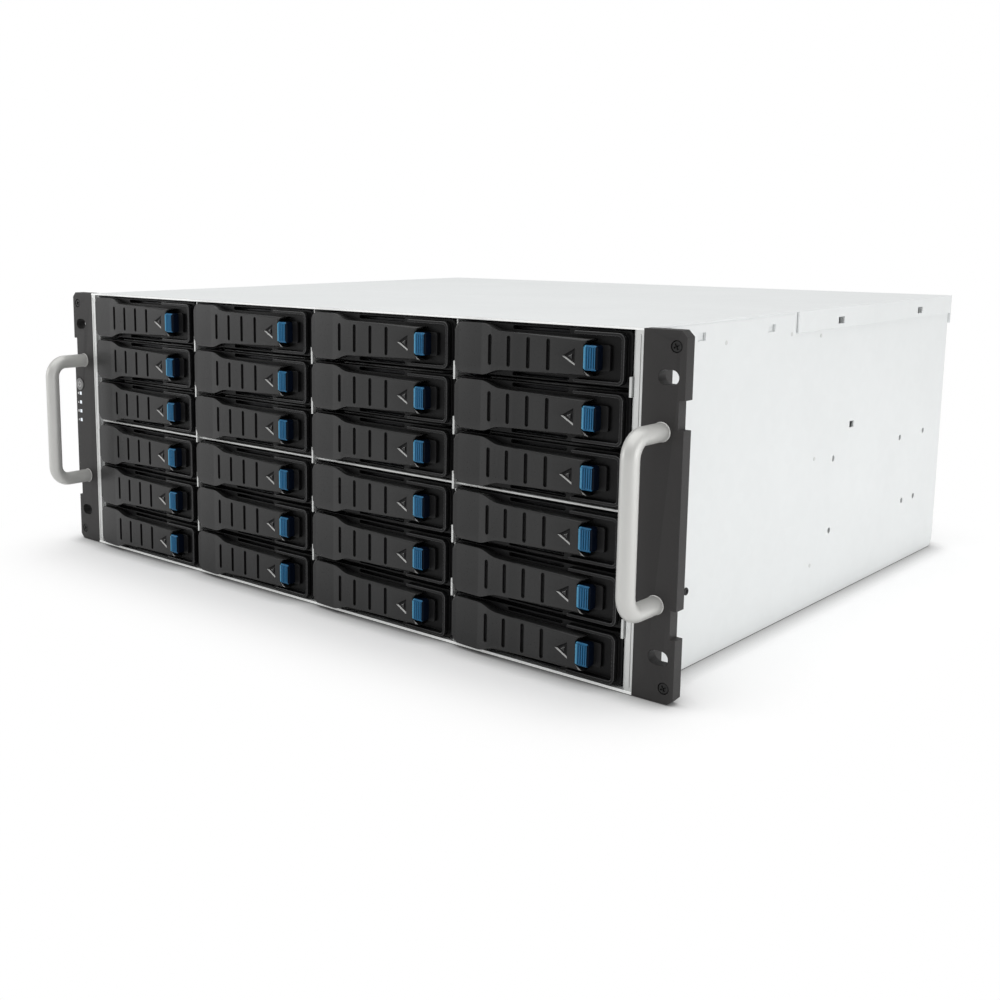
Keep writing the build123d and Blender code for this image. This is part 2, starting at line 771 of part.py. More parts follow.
def lever_solid(hinged):
    """A lever with S shoulders, grip slots, a pointer and horns on each side of its catch."""
    start_x = lever_left + shoulder_start
    neck_x = start_x + shoulder_length
    high, neck, tip = lever_height / 2, lever_neck / 2, lever_tip / 2
    with BuildPart() as lever:
        with BuildSketch(facing_front(lever_back)):
            with BuildLine():
                Polyline((start_x, -high), (lever_left, -high), (lever_left, high), (start_x, high))
                shoulder((start_x, high), (neck_x, neck))
                Polyline((neck_x, neck), (catch_x, tip), (notch_x, notch_half))
                Line((notch_x, notch_half), (notch_x, -notch_half))
                Polyline((notch_x, -notch_half), (catch_x, -tip), (neck_x, -neck))
                shoulder((start_x, -high), (neck_x, -neck))
            make_face()
        extrude(amount=lever_back - lever_front)
        front = lever.faces().sort_by(Axis.Y)[0]
        rims = front.edges().filter_by(lambda edge: abs(edge.center().Z) > tip)
        chamfer(rims, lever_chamfer)
        # tongue that carries the catch
        with BuildSketch(facing_front(catch_floor + tongue_thick)):
            with Locations(((notch_x - sheet + tongue_end) / 2, 0)):
                Rectangle(tongue_end - notch_x + sheet, catch_height)
        extrude(amount=tongue_thick)
        # pointer sunk in the face, aimed away from the catch
        mark_right = catch_left - mark_gap
        with BuildSketch(facing_front(lever_front + mark_depth)):
            with BuildLine():
                Polyline(
                    (mark_right - mark_length, 0),
                    (mark_right, mark_height / 2),
                    (mark_right, -mark_height / 2),
                    close=True,
                )
            make_face()
        extrude(amount=mark_depth, mode=Mode.SUBTRACT)
        if hinged:
            # slot in the tongue for the catch's stem
            with BuildSketch(facing_front(catch_floor + tongue_thick)):
                with Locations((catch_x + catch_travel / 2, 0)):
                    Rectangle(stem_width + catch_travel + 2 * slide_gap, stem_height + 2 * slide_gap)
            extrude(amount=tongue_thick, mode=Mode.SUBTRACT)
            # round end about the pivot, room for the lug, and the pin moulded across that room
            with BuildSketch(Plane.XY.offset(-high)):
                with Locations(lever_pivot):
                    Circle(lever_pivot_radius)
                with Locations(((lever_pivot[0] + tongue_end) / 2, lever_pivot[1])):
                    Rectangle(tongue_end - lever_pivot[0], lever_back - lever_front)
            extrude(amount=lever_height, mode=Mode.INTERSECT)
            with BuildSketch(Plane.XY.offset(-lug_height / 2 - slide_gap)):
                lug_clear = lug_radius + slide_gap
                with Locations(((lever_left - 1 + lever_pivot[0] + lug_clear) / 2, lever_pivot[1] + 2)):
                    Rectangle(lever_pivot[0] + lug_clear - lever_left + 1, 2 * lug_clear + 4)
            extrude(amount=lug_height + 2 * slide_gap, mode=Mode.SUBTRACT)
            with BuildSketch(Plane.XY.offset(-lug_height / 2 - slide_gap)):
                with Locations(lever_pivot):
                    Circle(pin_radius)
            extrude(amount=lug_height + 2 * slide_gap)
        with BuildSketch(facing_front(lever_front + slot_depth)):
            with Locations([(lever_left + first_slot + n * slot_pitch, 0) for n in range(slot_count)]):
                Rectangle(slot_width, slot_height)
        extrude(amount=slot_depth, mode=Mode.SUBTRACT)
    return lever.part


def catch_solid(hinged):
    """A catch that slides on the lever's tongue; the hinged one is held by a stem and foot."""
    with BuildPart() as catch:
        with BuildSketch(facing_front(catch_floor - seat_gap)):
            with Locations((catch_x, 0)):
                Rectangle(catch_width, catch_height)
        extrude(amount=catch_floor - seat_gap - catch_front)
        chamfer(catch.faces().sort_by(Axis.Y)[0].edges(), catch_chamfer)
        if hinged:
            with BuildSketch(facing_front(lever_back - seat_gap)):
                with Locations((catch_x, 0)):
                    Rectangle(stem_width, stem_height)
            extrude(amount=2 * tongue_thick)
            with BuildSketch(facing_front(lever_back - seat_gap)):
                with Locations((catch_x, 0)):
                    Rectangle(catch_width, foot_height)
            extrude(amount=tongue_thick - slide_gap)
    return catch.part


# Bezel plate with its air slots
with BuildPart() as bezel_plate:
    with BuildSketch(facing_front(bezel_back)) as plate:
        Rectangle(tray_width, tray_height)
        chamfer(plate.vertices(), bezel_corner)
        with GridLocations(0, tray_height - bezel_vent_height - 2 * bezel_vent_inset, 1, 2):
            Rectangle(bezel_vent_width, bezel_vent_height, mode=Mode.SUBTRACT)
    extrude(amount=bezel_back - bezel_floor)

# Rim on the bezel: two rails above and below the catch, and a wall across their ends
with BuildPart() as bezel_rim:
    rim_end = tray_width / 2 - bezel_corner
    rim_x = rim_end - rim_length / 2
    with BuildSketch(facing_front(bezel_floor)) as rim:
        with Locations((rim_x, 0)):
            Rectangle(rim_length, rim_height)
        chamfer(rim.vertices().group_by(Axis.X)[-1], rim_corner)
        with Locations((rim_x - rim_wall, 0)):
            Rectangle(rim_length, rim_height - 2 * rim_wall, mode=Mode.SUBTRACT)
    extrude(amount=bezel_floor - bezel_front)
    split(bisect_by=Plane.YZ.offset(rim_end - rim_wall), keep=Keep.BOTH)

# Lug on the bezel, with the bore that the lever's pin turns in
with BuildPart() as pivot_lug:
    with BuildSketch(Plane.XY.offset(-lug_height / 2)):
        with Locations(lever_pivot):
            Circle(lug_radius)
        with Locations((lever_pivot[0], (lever_pivot[1] + bezel_floor) / 2)):
            Rectangle(2 * lug_radius, bezel_floor - lever_pivot[1])
        with Locations(lever_pivot):
            Circle(pin_radius + running_gap / 2, mode=Mode.SUBTRACT)
    extrude(amount=lug_height)


# Tray carrier: two side rails on a thin open floor
with BuildPart() as carrier:
    rail_start = bezel_back + seat_gap
    with BuildSketch(facing_front(carrier_rear)):
        with Locations((0, -carrier_drop + carrier_rail / 2)):
            Rectangle(tray_width, carrier_rail)
        with Locations((0, -carrier_drop + carrier_floor + carrier_rail / 2)):
            Rectangle(tray_width - 2 * carrier_wall, carrier_rail, mode=Mode.SUBTRACT)
    extrude(amount=carrier_rear - rail_start)
    with BuildSketch(Plane.XY.offset(-carrier_drop)):
        with Locations((0, (rail_start + carrier_rear) / 2)):
            window_length = carrier_rear - rail_start - 2 * carrier_window_end
            Rectangle(tray_width - 2 * carrier_window_inset, window_length)
    extrude(amount=carrier_floor, mode=Mode.SUBTRACT)

# Disk drive
with BuildPart() as drive:
    drive_bottom = -carrier_drop + carrier_floor + seat_gap
    with BuildSketch(Plane.XY.offset(drive_bottom)):
        with Locations((0, drive_front + drive_length / 2)):
            Rectangle(drive_width, drive_length)
    extrude(amount=drive_height)

# One node for each tray; those of the top row have their lever and catch in nodes of their own
tray_body = [carrier.part, drive.part, bezel_plate.part, bezel_rim.part]
plain_tray = [*tray_body, lever_solid(False), catch_solid(False)]
hinged_tray = [*tray_body, pivot_lug.part]
hinged_lever = [lever_solid(True)]
hinged_catch = [catch_solid(True)]


def place(pieces, name, x, z):
    """Writes the pieces of one node, moved to their bay and kept as solids side by side."""
    moved = [piece.moved(Location((x, 0, z))) for piece in pieces]
    together = Compound([solid for piece in moved for solid in piece.solids()], label=name)
    export_step(together, f"parts/{name}.step")


for r, z in enumerate(row_centres):
    for c, x in enumerate(column_centres):
        bay = f"r{r + 1}c{c + 1}"
        if r == 0:
            place(hinged_tray, f"tray_{bay}", x, z)
            place(hinged_lever, f"lever_{bay}", x, z)
            place(hinged_catch, f"catch_{bay}", x, z)
        else:
            place(plain_tray, f"tray_{bay}", x, z)
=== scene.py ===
import math
import bmesh
import bpy
from mathutils import Matrix, Vector


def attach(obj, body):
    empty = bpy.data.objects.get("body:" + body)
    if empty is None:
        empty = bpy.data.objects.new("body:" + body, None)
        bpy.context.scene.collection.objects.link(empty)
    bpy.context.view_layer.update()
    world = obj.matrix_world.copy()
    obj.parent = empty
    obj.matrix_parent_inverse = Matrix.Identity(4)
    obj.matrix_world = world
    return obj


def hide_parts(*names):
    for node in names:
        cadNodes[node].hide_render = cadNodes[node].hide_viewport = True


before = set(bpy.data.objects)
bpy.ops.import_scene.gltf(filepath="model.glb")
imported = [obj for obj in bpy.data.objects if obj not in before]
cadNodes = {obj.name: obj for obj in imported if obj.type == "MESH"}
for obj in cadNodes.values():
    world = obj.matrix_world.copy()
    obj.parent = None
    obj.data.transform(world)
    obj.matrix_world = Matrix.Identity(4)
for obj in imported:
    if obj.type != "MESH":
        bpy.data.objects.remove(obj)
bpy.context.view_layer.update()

scene = bpy.context.scene
mm = 0.001

# where the bays and the body lie, in mm
bays = {"columnPitch": 106.7, "columns": 4, "rowZ": (161.6, 132.6, 103.6, 73.4, 44.4, 15.4)}
body = {"half": 219.0, "earFace": -7.0}
columnX = [(c - (bays["columns"] - 1) / 2) * bays["columnPitch"] for c in range(bays["columns"])]


def linked(name, mesh):
    made = bpy.data.objects.new(name, mesh)
    scene.collection.objects.link(made)
    return made


def fromBmesh(bm, name):
    bmesh.ops.recalc_face_normals(bm, faces=bm.faces)
    mesh = bpy.data.meshes.new(name)
    bm.to_mesh(mesh)
    bm.free()
    return linked(name, mesh)


def prism(name, outline, back, front, frontOutline=None, rim=0.0, rimSteps=3, keepSharp=None):
    # an outline in X and Z, drawn from depth back to depth front; rim rounds the front edges
    frontOutline = frontOutline or outline
    bm = bmesh.new()
    backLoop = [bm.verts.new((x * mm, back * mm, z * mm)) for x, z in outline]
    frontLoop = [bm.verts.new((x * mm, front * mm, z * mm)) for x, z in frontOutline]
    bm.faces.new(backLoop)
    face = bm.faces.new(frontLoop)
    for i in range(len(outline)):
        j = (i + 1) % len(outline)
        bm.faces.new((backLoop[i], backLoop[j], frontLoop[j], frontLoop[i]))
    if rim:
        edges = [e for e in face.edges if not (keepSharp and keepSharp(e))]
        bmesh.ops.bevel(bm, geom=edges, offset=rim * mm, offset_type="OFFSET", segments=rimSteps,
                        profile=0.5, affect="EDGES", clamp_overlap=True)
    return fromBmesh(bm, name)


def box(name, low, high):
    (x0, y0, z0), (x1, y1, z1) = low, high
    return prism(name, [(x0, z0), (x1, z0), (x1, z1), (x0, z1)], y1, y0)


def arc(cx, cz, radius, start, end, steps=6):
    turns = [math.radians(start + (end - start) * i / steps) for i in range(steps + 1)]
    return [(cx + radius * math.cos(t), cz + radius * math.sin(t)) for t in turns]


def roundedBox(x0, z0, x1, z1, r, steps=4):
    return (arc(x1 - r, z1 - r, r, 0, 90, steps) + arc(x0 + r, z1 - r, r, 90, 180, steps)
            + arc(x0 + r, z0 + r, r, 180, 270, steps) + arc(x1 - r, z0 + r, r, 270, 360, steps))


def settled(piece):
    # the evaluated mesh takes the place of the mesh and its modifiers
    graph = bpy.context.evaluated_depsgraph_get()
    graph.update()
    mesh = bpy.data.meshes.new_from_object(piece.evaluated_get(graph))
    piece.modifiers.clear()
    piece.data = mesh
    return piece


def combine(piece, others, operation):
    for other in others:
        step = piece.modifiers.new("combine", "BOOLEAN")
        step.operation = operation
        step.solver = "EXACT"
        step.object = other
    settled(piece)
    for other in others:
        bpy.data.objects.remove(other)
    return piece


def soften(piece, width, segments=2, angle=32, shape=None):
    # merges what is flat, lets shape bend the result, then rounds the edges
    bm = bmesh.new()
    bm.from_mesh(piece.data)
    bmesh.ops.remove_doubles(bm, verts=bm.verts, dist=0.002 * mm)
    bmesh.ops.dissolve_limit(bm, angle_limit=math.radians(0.6), verts=bm.verts, edges=bm.edges)
    if shape:
        shape(bm)
    bm.to_mesh(piece.data)
    bm.free()
    piece.data.shade_smooth()
    step = piece.modifiers.new("soften", "BEVEL")
    step.width = width * mm
    step.segments = segments
    step.limit_method = "ANGLE"
    step.angle_limit = math.radians(angle)
    step.use_clamp_overlap = True
    level = piece.modifiers.new("level", "WEIGHTED_NORMAL")
    level.weight = 100
    return settled(piece)


def tinted(piece, pick):
    # gives every face the number of its finish: 0 is the main one, the accents follow
    for face in piece.data.polygons:
        x, y, z = (v / mm for v in face.center)
        face.material_index = pick(x, y, z, face.normal)
    return piece


def copyTo(master, name, x, z):
    mesh = master.data.copy()
    mesh.transform(Matrix.Translation((x * mm, 0, z * mm)))
    return linked(name, mesh)


def dressed(node, name, width, shortest=7.0):
    # a copy of a CAD node with merged corners: its long edges are folded over, and its faces stay flat
    made = linked(name, cadNodes[node].data.copy())
    made.data.materials.clear()
    bm = bmesh.new()
    bm.from_mesh(made.data)
    bmesh.ops.remove_doubles(bm, verts=bm.verts, dist=0.002 * mm)
    bmesh.ops.dissolve_limit(bm, angle_limit=math.radians(0.3), verts=bm.verts, edges=bm.edges)
    folds = [e for e in bm.edges if len(e.link_faces) == 2 and e.calc_face_angle() > math.radians(32)
             and e.calc_length() > shortest * mm]
    bmesh.ops.bevel(bm, geom=folds, offset=width * mm, offset_type="OFFSET", segments=2, profile=0.5,
                    affect="EDGES", clamp_overlap=True)
    bm.to_mesh(made.data)
    bm.free()
    made.data.shade_flat()
    return made


def placePiece(piece, bodyName, finish, slotName, *nodes, accents=()):
    picks = [0] * len(piece.data.polygons)
    piece.data.polygons.foreach_get("material_index", picks)
    piece.data.materials.clear()
    for skin in (finish, *accents):
        piece.data.materials.append(skin)
    piece.data.polygons.foreach_set("material_index", [min(pick, len(accents)) for pick in picks])
    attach(piece, bodyName)
    if nodes:
        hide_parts(*nodes)
    return piece


def newTree(name, inputs):
    tree = bpy.data.node_groups.new(name, "GeometryNodeTree")
    tree.interface.new_socket(name="Geometry", in_out="INPUT", socket_type="NodeSocketGeometry")
    for label, kind, value in inputs:
        socket = tree.interface.new_socket(name=label, in_out="INPUT", socket_type=f"NodeSocket{kind}")
        if value is not None:
            socket.default_value = value
    tree.interface.new_socket(name="Geometry", in_out="OUTPUT", socket_type="NodeSocketGeometry")
    return tree, tree.nodes.new("NodeGroupInput"), tree.nodes.new("NodeGroupOutput")


def addNode(tree, kind, values=None, **settings):
    made = tree.nodes.new(kind)
    for key, value in settings.items():
        setattr(made, key, value)
    for key, value in (values or {}).items():
        if isinstance(value, bpy.types.NodeSocket):
            tree.links.new(value, made.inputs[key])
        else:
            made.inputs[key].default_value = value
    return made


def finishTree(tree, geometry, given, out):
    real = addNode(tree, "GeometryNodeRealizeInstances", {"Geometry": geometry})
    smooth = addNode(tree, "GeometryNodeSetShadeSmooth", {"Geometry": real.outputs[0], "Shade Smooth": False})
    coat = addNode(tree, "GeometryNodeSetMaterial", {"Geometry": smooth.outputs[0], "Material": given["Material"]})
    tree.links.new(coat.outputs[0], out.inputs[0])


def grown(piece, tree, values):
    # runs a tree on a piece and keeps the result as a plain mesh
    step = piece.modifiers.new("grow", "NODES")
    step.node_group = tree
    for item in tree.interface.items_tree:
        if item.item_type == "SOCKET" and item.in_out == "INPUT" and item.name in values:
            step[item.identifier] = values[item.name]
    return settled(piece)


def points(name, places):
    mesh = bpy.data.meshes.new(name)
    mesh.from_pydata([tuple(v * mm for v in p) for p in places], [], [])
    return linked(name, mesh)


def math2(tree, operation, a, b):
    made = addNode(tree, "ShaderNodeMath", operation=operation)
    for i, value in enumerate((a, b)):
        if isinstance(value, bpy.types.NodeSocket):
            tree.links.new(value, made.inputs[i])
        else:
            made.inputs[i].default_value = value
    return made.outputs[0]


def vector3(tree, x=0.0, y=0.0, z=0.0):
    return addNode(tree, "ShaderNodeCombineXYZ", {"X": x, "Y": y, "Z": z}).outputs[0]


def makeSlotTree():
    # a row of round-ended slots cut into the face of a lever
    tree, given, out = newTree("gripSlots", [
        ("Count", "Int", 4), ("Pitch", "Float", 0.012), ("Width", "Float", 0.0022), ("Height", "Float", 0.0156),
        ("Depth", "Float", 0.003), ("First", "Vector", None), ("Material", "Material", None)])
    g = given.outputs
    row = addNode(tree, "GeometryNodeMeshLine", {
        "Count": g["Count"], "Start Location": g["First"], "Offset": vector3(tree, x=g["Pitch"])})
    shape = addNode(tree, "GeometryNodeCurvePrimitiveQuadrilateral", {"Width": g["Width"], "Height": g["Height"]})
    ended = addNode(tree, "GeometryNodeFilletCurve", {
        "Curve": shape.outputs[0], "Radius": math2(tree, "MULTIPLY", g["Width"], 0.495), "Count": 4,
        "Limit Radius": True}, mode="POLY")
    fill = addNode(tree, "GeometryNodeFillCurve", {"Curve": ended.outputs[0]})
    solid = addNode(tree, "GeometryNodeExtrudeMesh", {
        "Mesh": fill.outputs[0], "Offset Scale": g["Depth"], "Individual": False})
    flipped = addNode(tree, "GeometryNodeFlipFaces", {"Mesh": fill.outputs[0]})
    closed = addNode(tree, "GeometryNodeJoinGeometry")
    tree.links.new(solid.outputs[0], closed.inputs[0])
    tree.links.new(flipped.outputs[0], closed.inputs[0])
    merged = addNode(tree, "GeometryNodeMergeByDistance", {"Geometry": closed.outputs[0], "Distance": 0.000001})
    stand = addNode(tree, "GeometryNodeTransform", {"Geometry": merged.outputs[0],
                                                    "Rotation": (math.radians(90), 0, 0)})
    cutters = addNode(tree, "GeometryNodeInstanceOnPoints", {"Points": row.outputs[0],
                                                             "Instance": stand.outputs[0]})
    realCutters = addNode(tree, "GeometryNodeRealizeInstances", {"Geometry": cutters.outputs[0]})
    cut = addNode(tree, "GeometryNodeMeshBoolean", operation="DIFFERENCE")
    tree.links.new(g["Geometry"], cut.inputs["Mesh 1"])
    tree.links.new(realCutters.outputs[0], cut.inputs["Mesh 2"])
    finishTree(tree, cut.outputs[0], g, out)
    return tree


def makeRidgeTree():
    # upright half-round ridges along the face of a catch
    tree, given, out = newTree("catchRidges", [
        ("Count", "Int", 4), ("Pitch", "Float", 0.0013), ("Radius", "Float", 0.0004), ("Height", "Float", 0.0098),
        ("First", "Vector", None), ("Material", "Material", None)])
    g = given.outputs
    row = addNode(tree, "GeometryNodeMeshLine", {
        "Count": g["Count"], "Start Location": g["First"], "Offset": vector3(tree, x=g["Pitch"])})
    ridge = addNode(tree, "GeometryNodeMeshCylinder", {
        "Vertices": 12, "Radius": g["Radius"], "Depth": g["Height"]})
    ridges = addNode(tree, "GeometryNodeInstanceOnPoints", {"Points": row.outputs[0], "Instance": ridge.outputs[0]})
    realRidges = addNode(tree, "GeometryNodeRealizeInstances", {"Geometry": ridges.outputs[0]})
    whole = addNode(tree, "GeometryNodeMeshBoolean", operation="UNION")
    tree.links.new(g["Geometry"], whole.inputs["Mesh 2"])
    tree.links.new(realRidges.outputs[0], whole.inputs["Mesh 2"])
    finishTree(tree, whole.outputs[0], g, out)
    return tree


def makeScrewTree():
    # cross-head screws, one on each point, turned to face out of the sheet
    tree, given, out = newTree("crossScrews", [
        ("Radius", "Float", 0.0027), ("Height", "Float", 0.001), ("Cross Width", "Float", 0.0008),
        ("Cross Length", "Float", 0.003), ("Turn", "Vector", None), ("Material", "Material", None)])
    g = given.outputs
    shoulder = math2(tree, "MULTIPLY", g["Height"], 0.3)
    low = addNode(tree, "GeometryNodeMeshCylinder", {"Vertices": 24, "Radius": g["Radius"], "Depth": g["Height"]})
    top = addNode(tree, "GeometryNodeMeshCone", {
        "Vertices": 24, "Radius Bottom": g["Radius"], "Radius Top": math2(tree, "MULTIPLY", g["Radius"], 0.86),
        "Depth": shoulder})
    raised = addNode(tree, "GeometryNodeTransform", {
        "Geometry": top.outputs[0],
        "Translation": vector3(tree, z=math2(tree, "MULTIPLY", g["Height"], 0.499))})
    head = addNode(tree, "GeometryNodeMeshBoolean", operation="UNION")
    tree.links.new(low.outputs[0], head.inputs["Mesh 2"])
    tree.links.new(raised.outputs[0], head.inputs["Mesh 2"])
    deep = math2(tree, "MULTIPLY", g["Height"], 1.6)
    barA = addNode(tree, "GeometryNodeMeshCube", {"Size": vector3(tree, g["Cross Width"], g["Cross Length"], deep)})
    barB = addNode(tree, "GeometryNodeMeshCube", {"Size": vector3(tree, g["Cross Length"], g["Cross Width"], deep)})
    cross = addNode(tree, "GeometryNodeMeshBoolean", operation="UNION")
    tree.links.new(barA.outputs[0], cross.inputs["Mesh 2"])
    tree.links.new(barB.outputs[0], cross.inputs["Mesh 2"])
    lifted = addNode(tree, "GeometryNodeTransform", {
        "Geometry": cross.outputs[0], "Rotation": (0, 0, math.radians(28)),
        "Translation": vector3(tree, z=math2(tree, "MULTIPLY", g["Height"], 0.95))})
    cut = addNode(tree, "GeometryNodeMeshBoolean", operation="DIFFERENCE")
    tree.links.new(head.outputs[0], cut.inputs["Mesh 1"])
    tree.links.new(lifted.outputs[0], cut.inputs["Mesh 2"])
    turned = addNode(tree, "GeometryNodeTransform", {"Geometry": cut.outputs[0], "Rotation": g["Turn"]})
    placed = addNode(tree, "GeometryNodeInstanceOnPoints", {"Points": g["Geometry"], "Instance": turned.outputs[0]})
    finishTree(tree, placed.outputs[0], g, out)
    return tree


def makeHandleTree():
    # a round bar along a path whose corners are rounded
    tree, given, out = newTree("roundBar", [
        ("Bend", "Float", 0.01), ("Radius", "Float", 0.0045), ("Material", "Material", None)])
    g = given.outputs
    path = addNode(tree, "GeometryNodeMeshToCurve", {"Mesh": g["Geometry"]})
    bent = addNode(tree, "GeometryNodeFilletCurve", {
        "Curve": path.outputs[0], "Radius": g["Bend"], "Count": 14}, mode="POLY")
    section = addNode(tree, "GeometryNodeCurvePrimitiveCircle", {"Resolution": 32, "Radius": g["Radius"]})
    bar = addNode(tree, "GeometryNodeCurveToMesh", {
        "Curve": bent.outputs[0], "Profile Curve": section.outputs[0], "Fill Caps": True})
    finishTree(tree, bar.outputs[0], g, out)
    return tree


def makeTabTree():
    # folded steel tabs, a column of them at each point
    tree, given, out = newTree("steelTabs", [
        ("Count", "Int", 5), ("Pitch", "Float", 0.0293), ("Width", "Float", 0.0016), ("Height", "Float", 0.0096),
        ("Reach", "Float", 0.005), ("Material", "Material", None)])
    g = given.outputs
    tab = addNode(tree, "GeometryNodeMeshCube", {"Size": vector3(tree, g["Width"], g["Reach"], g["Height"])})
    run = math2(tree, "MULTIPLY", g["Pitch"], math2(tree, "SUBTRACT", g["Count"], 1.0))
    column = addNode(tree, "GeometryNodeMeshLine", {
        "Count": g["Count"], "Start Location": vector3(tree, z=math2(tree, "MULTIPLY", run, -0.5)),
        "Offset": vector3(tree, z=g["Pitch"])})
    tabs = addNode(tree, "GeometryNodeInstanceOnPoints", {"Points": column.outputs[0], "Instance": tab.outputs[0]})
    columns = addNode(tree, "GeometryNodeInstanceOnPoints", {"Points": g["Geometry"], "Instance": tabs.outputs[0]})
    finishTree(tree, columns.outputs[0], g, out)
    return tree


def makeDiscTree():
    # low round bosses, one on each point, with a narrower top
    tree, given, out = newTree("roundBosses", [
        ("Radius", "Float", 0.0012), ("Height", "Float", 0.0002), ("Taper", "Float", 0.8), ("Turn", "Vector", None),
        ("Material", "Material", None)])
    g = given.outputs
    boss = addNode(tree, "GeometryNodeMeshCone", {
        "Vertices": 24, "Radius Bottom": g["Radius"], "Radius Top": math2(tree, "MULTIPLY", g["Radius"], g["Taper"]),
        "Depth": g["Height"]})
    turned = addNode(tree, "GeometryNodeTransform", {"Geometry": boss.outputs[0], "Rotation": g["Turn"]})
    bosses = addNode(tree, "GeometryNodeInstanceOnPoints", {"Points": g["Geometry"], "Instance": turned.outputs[0]})
    finishTree(tree, bosses.outputs[0], g, out)
    return tree


slotTree = makeSlotTree()
ridgeTree = makeRidgeTree()
screwTree = makeScrewTree()
handleTree = makeHandleTree()
tabTree = makeTabTree()
discTree = makeDiscTree()
print("trees ready")


def shaderGroup(name, inputs, outputs):
    group = bpy.data.node_groups.new(name, "ShaderNodeTree")
    for label, kind, value in inputs:
        socket = group.interface.new_socket(name=label, in_out="INPUT", socket_type=f"NodeSocket{kind}")
        if value is not None:
            socket.default_value = value
    for label, kind in outputs:
        group.interface.new_socket(name=label, in_out="OUTPUT", socket_type=f"NodeSocket{kind}")
    return group, group.nodes.new("NodeGroupInput"), group.nodes.new("NodeGroupOutput")


def makeGrainGroup():
    # fine grain for bump and roughness, with slow blotches for colour
    group, given, out = shaderGroup("surfaceGrain", [
        ("Vector", "Vector", None), ("Grain Scale", "Float", 900.0), ("Blotch Scale", "Float", 14.0)],
        [("Grain", "Float"), ("Blotch", "Float")])
    g = given.outputs
    fine = addNode(group, "ShaderNodeTexNoise", {"Vector": g["Vector"], "Scale": g["Grain Scale"],
                                                 "Detail": 4.0, "Roughness": 0.6})
    slow = addNode(group, "ShaderNodeTexNoise", {"Vector": g["Vector"], "Scale": g["Blotch Scale"],
                                                 "Detail": 3.0, "Roughness": 0.55})
    group.links.new(fine.outputs[0], out.inputs["Grain"])
    group.links.new(slow.outputs[0], out.inputs["Blotch"])
    return group


def makeSpangleGroup():
    # the crystal pattern of galvanised sheet
    group, given, out = shaderGroup("zincSpangle", [
        ("Vector", "Vector", None), ("Crystal Scale", "Float", 260.0)], [("Crystal", "Float")])
    cells = addNode(group, "ShaderNodeTexVoronoi", {"Vector": given.outputs["Vector"],
                                                    "Scale": given.outputs["Crystal Scale"]})
    shade = addNode(group, "ShaderNodeSeparateColor", {"Color": cells.outputs["Color"]})
    group.links.new(shade.outputs[0], out.inputs["Crystal"])
    return group


grainGroup = makeGrainGroup()
spangleGroup = makeSpangleGroup()


def finish(name, dark, light, rough, metallic=0.0, grain=900.0, blotch=14.0, bump=0.05, stretch=(1, 1, 1),
           spangle=0.0, coat=0.0, emission=None, wearAndSheen=0.0, shine=0.5):
    made = bpy.data.materials.new(name)
    made.use_nodes = True
    tree = made.node_tree
    tree.nodes.clear()
    out = tree.nodes.new("ShaderNodeOutputMaterial")
    skin = tree.nodes.new("ShaderNodeBsdfPrincipled")
    tree.links.new(skin.outputs[0], out.inputs["Surface"])
    where = addNode(tree, "ShaderNodeTexCoord")
    mapped = addNode(tree, "ShaderNodeMapping", {"Vector": where.outputs["Object"], "Scale": stretch})
    texture = addNode(tree, "ShaderNodeGroup", node_tree=grainGroup)
    tree.links.new(mapped.outputs[0], texture.inputs["Vector"])
    texture.inputs["Grain Scale"].default_value = grain
    texture.inputs["Blotch Scale"].default_value = blotch
    level = texture.outputs["Blotch"]
    if spangle:
        zinc = addNode(tree, "ShaderNodeGroup", node_tree=spangleGroup)
        tree.links.new(where.outputs["Object"], zinc.inputs["Vector"])
        zinc.inputs["Crystal Scale"].default_value = 170.0
        level = math2(tree, "ADD", math2(tree, "MULTIPLY", level, 1.0 - spangle),
                      math2(tree, "MULTIPLY", zinc.outputs[0], spangle))
    ramp = addNode(tree, "ShaderNodeValToRGB", {"Fac": level})
    ramp.color_ramp.elements[0].position = 0.3
    ramp.color_ramp.elements[0].color = (*dark, 1)
    ramp.color_ramp.elements[1].position = 0.7
    ramp.color_ramp.elements[1].color = (*light, 1)
    colour = ramp.outputs[0]
    # convex edges turn paler: partly wear, partly a painted highlight on the rounded edges
    if wearAndSheen:
        edge = addNode(tree, "ShaderNodeNewGeometry")
        near = addNode(tree, "ShaderNodeMapRange", {"Value": edge.outputs["Pointiness"], "From Min": 0.5,
                                                    "From Max": 0.56, "To Max": wearAndSheen})
        mixed = addNode(tree, "ShaderNodeMix", data_type="RGBA")
        tree.links.new(near.outputs[0], mixed.inputs[0])
        tree.links.new(colour, mixed.inputs[6])
        mixed.inputs[7].default_value = (*[min(1.0, v * 4 + 0.05) for v in light], 1)
        colour = mixed.outputs[2]
    tree.links.new(colour, skin.inputs["Base Color"])
    tree.links.new(addNode(tree, "ShaderNodeMapRange", {
        "Value": texture.outputs["Grain"], "From Min": 0.3, "From Max": 0.7, "To Min": rough[0],
        "To Max": rough[1]}).outputs[0], skin.inputs["Roughness"])
    skin.inputs["Metallic"].default_value = metallic
    skin.inputs["Specular IOR Level"].default_value = shine
    skin.inputs["Coat Weight"].default_value = coat
    if bump:
        relief = addNode(tree, "ShaderNodeBump", {"Height": texture.outputs["Grain"], "Strength": bump,
                                                  "Distance": 0.0003})
        tree.links.new(relief.outputs[0], skin.inputs["Normal"])
    if emission:
        tree.links.new(colour, skin.inputs["Emission Color"])
        skin.inputs["Emission Strength"].default_value = emission
    return made


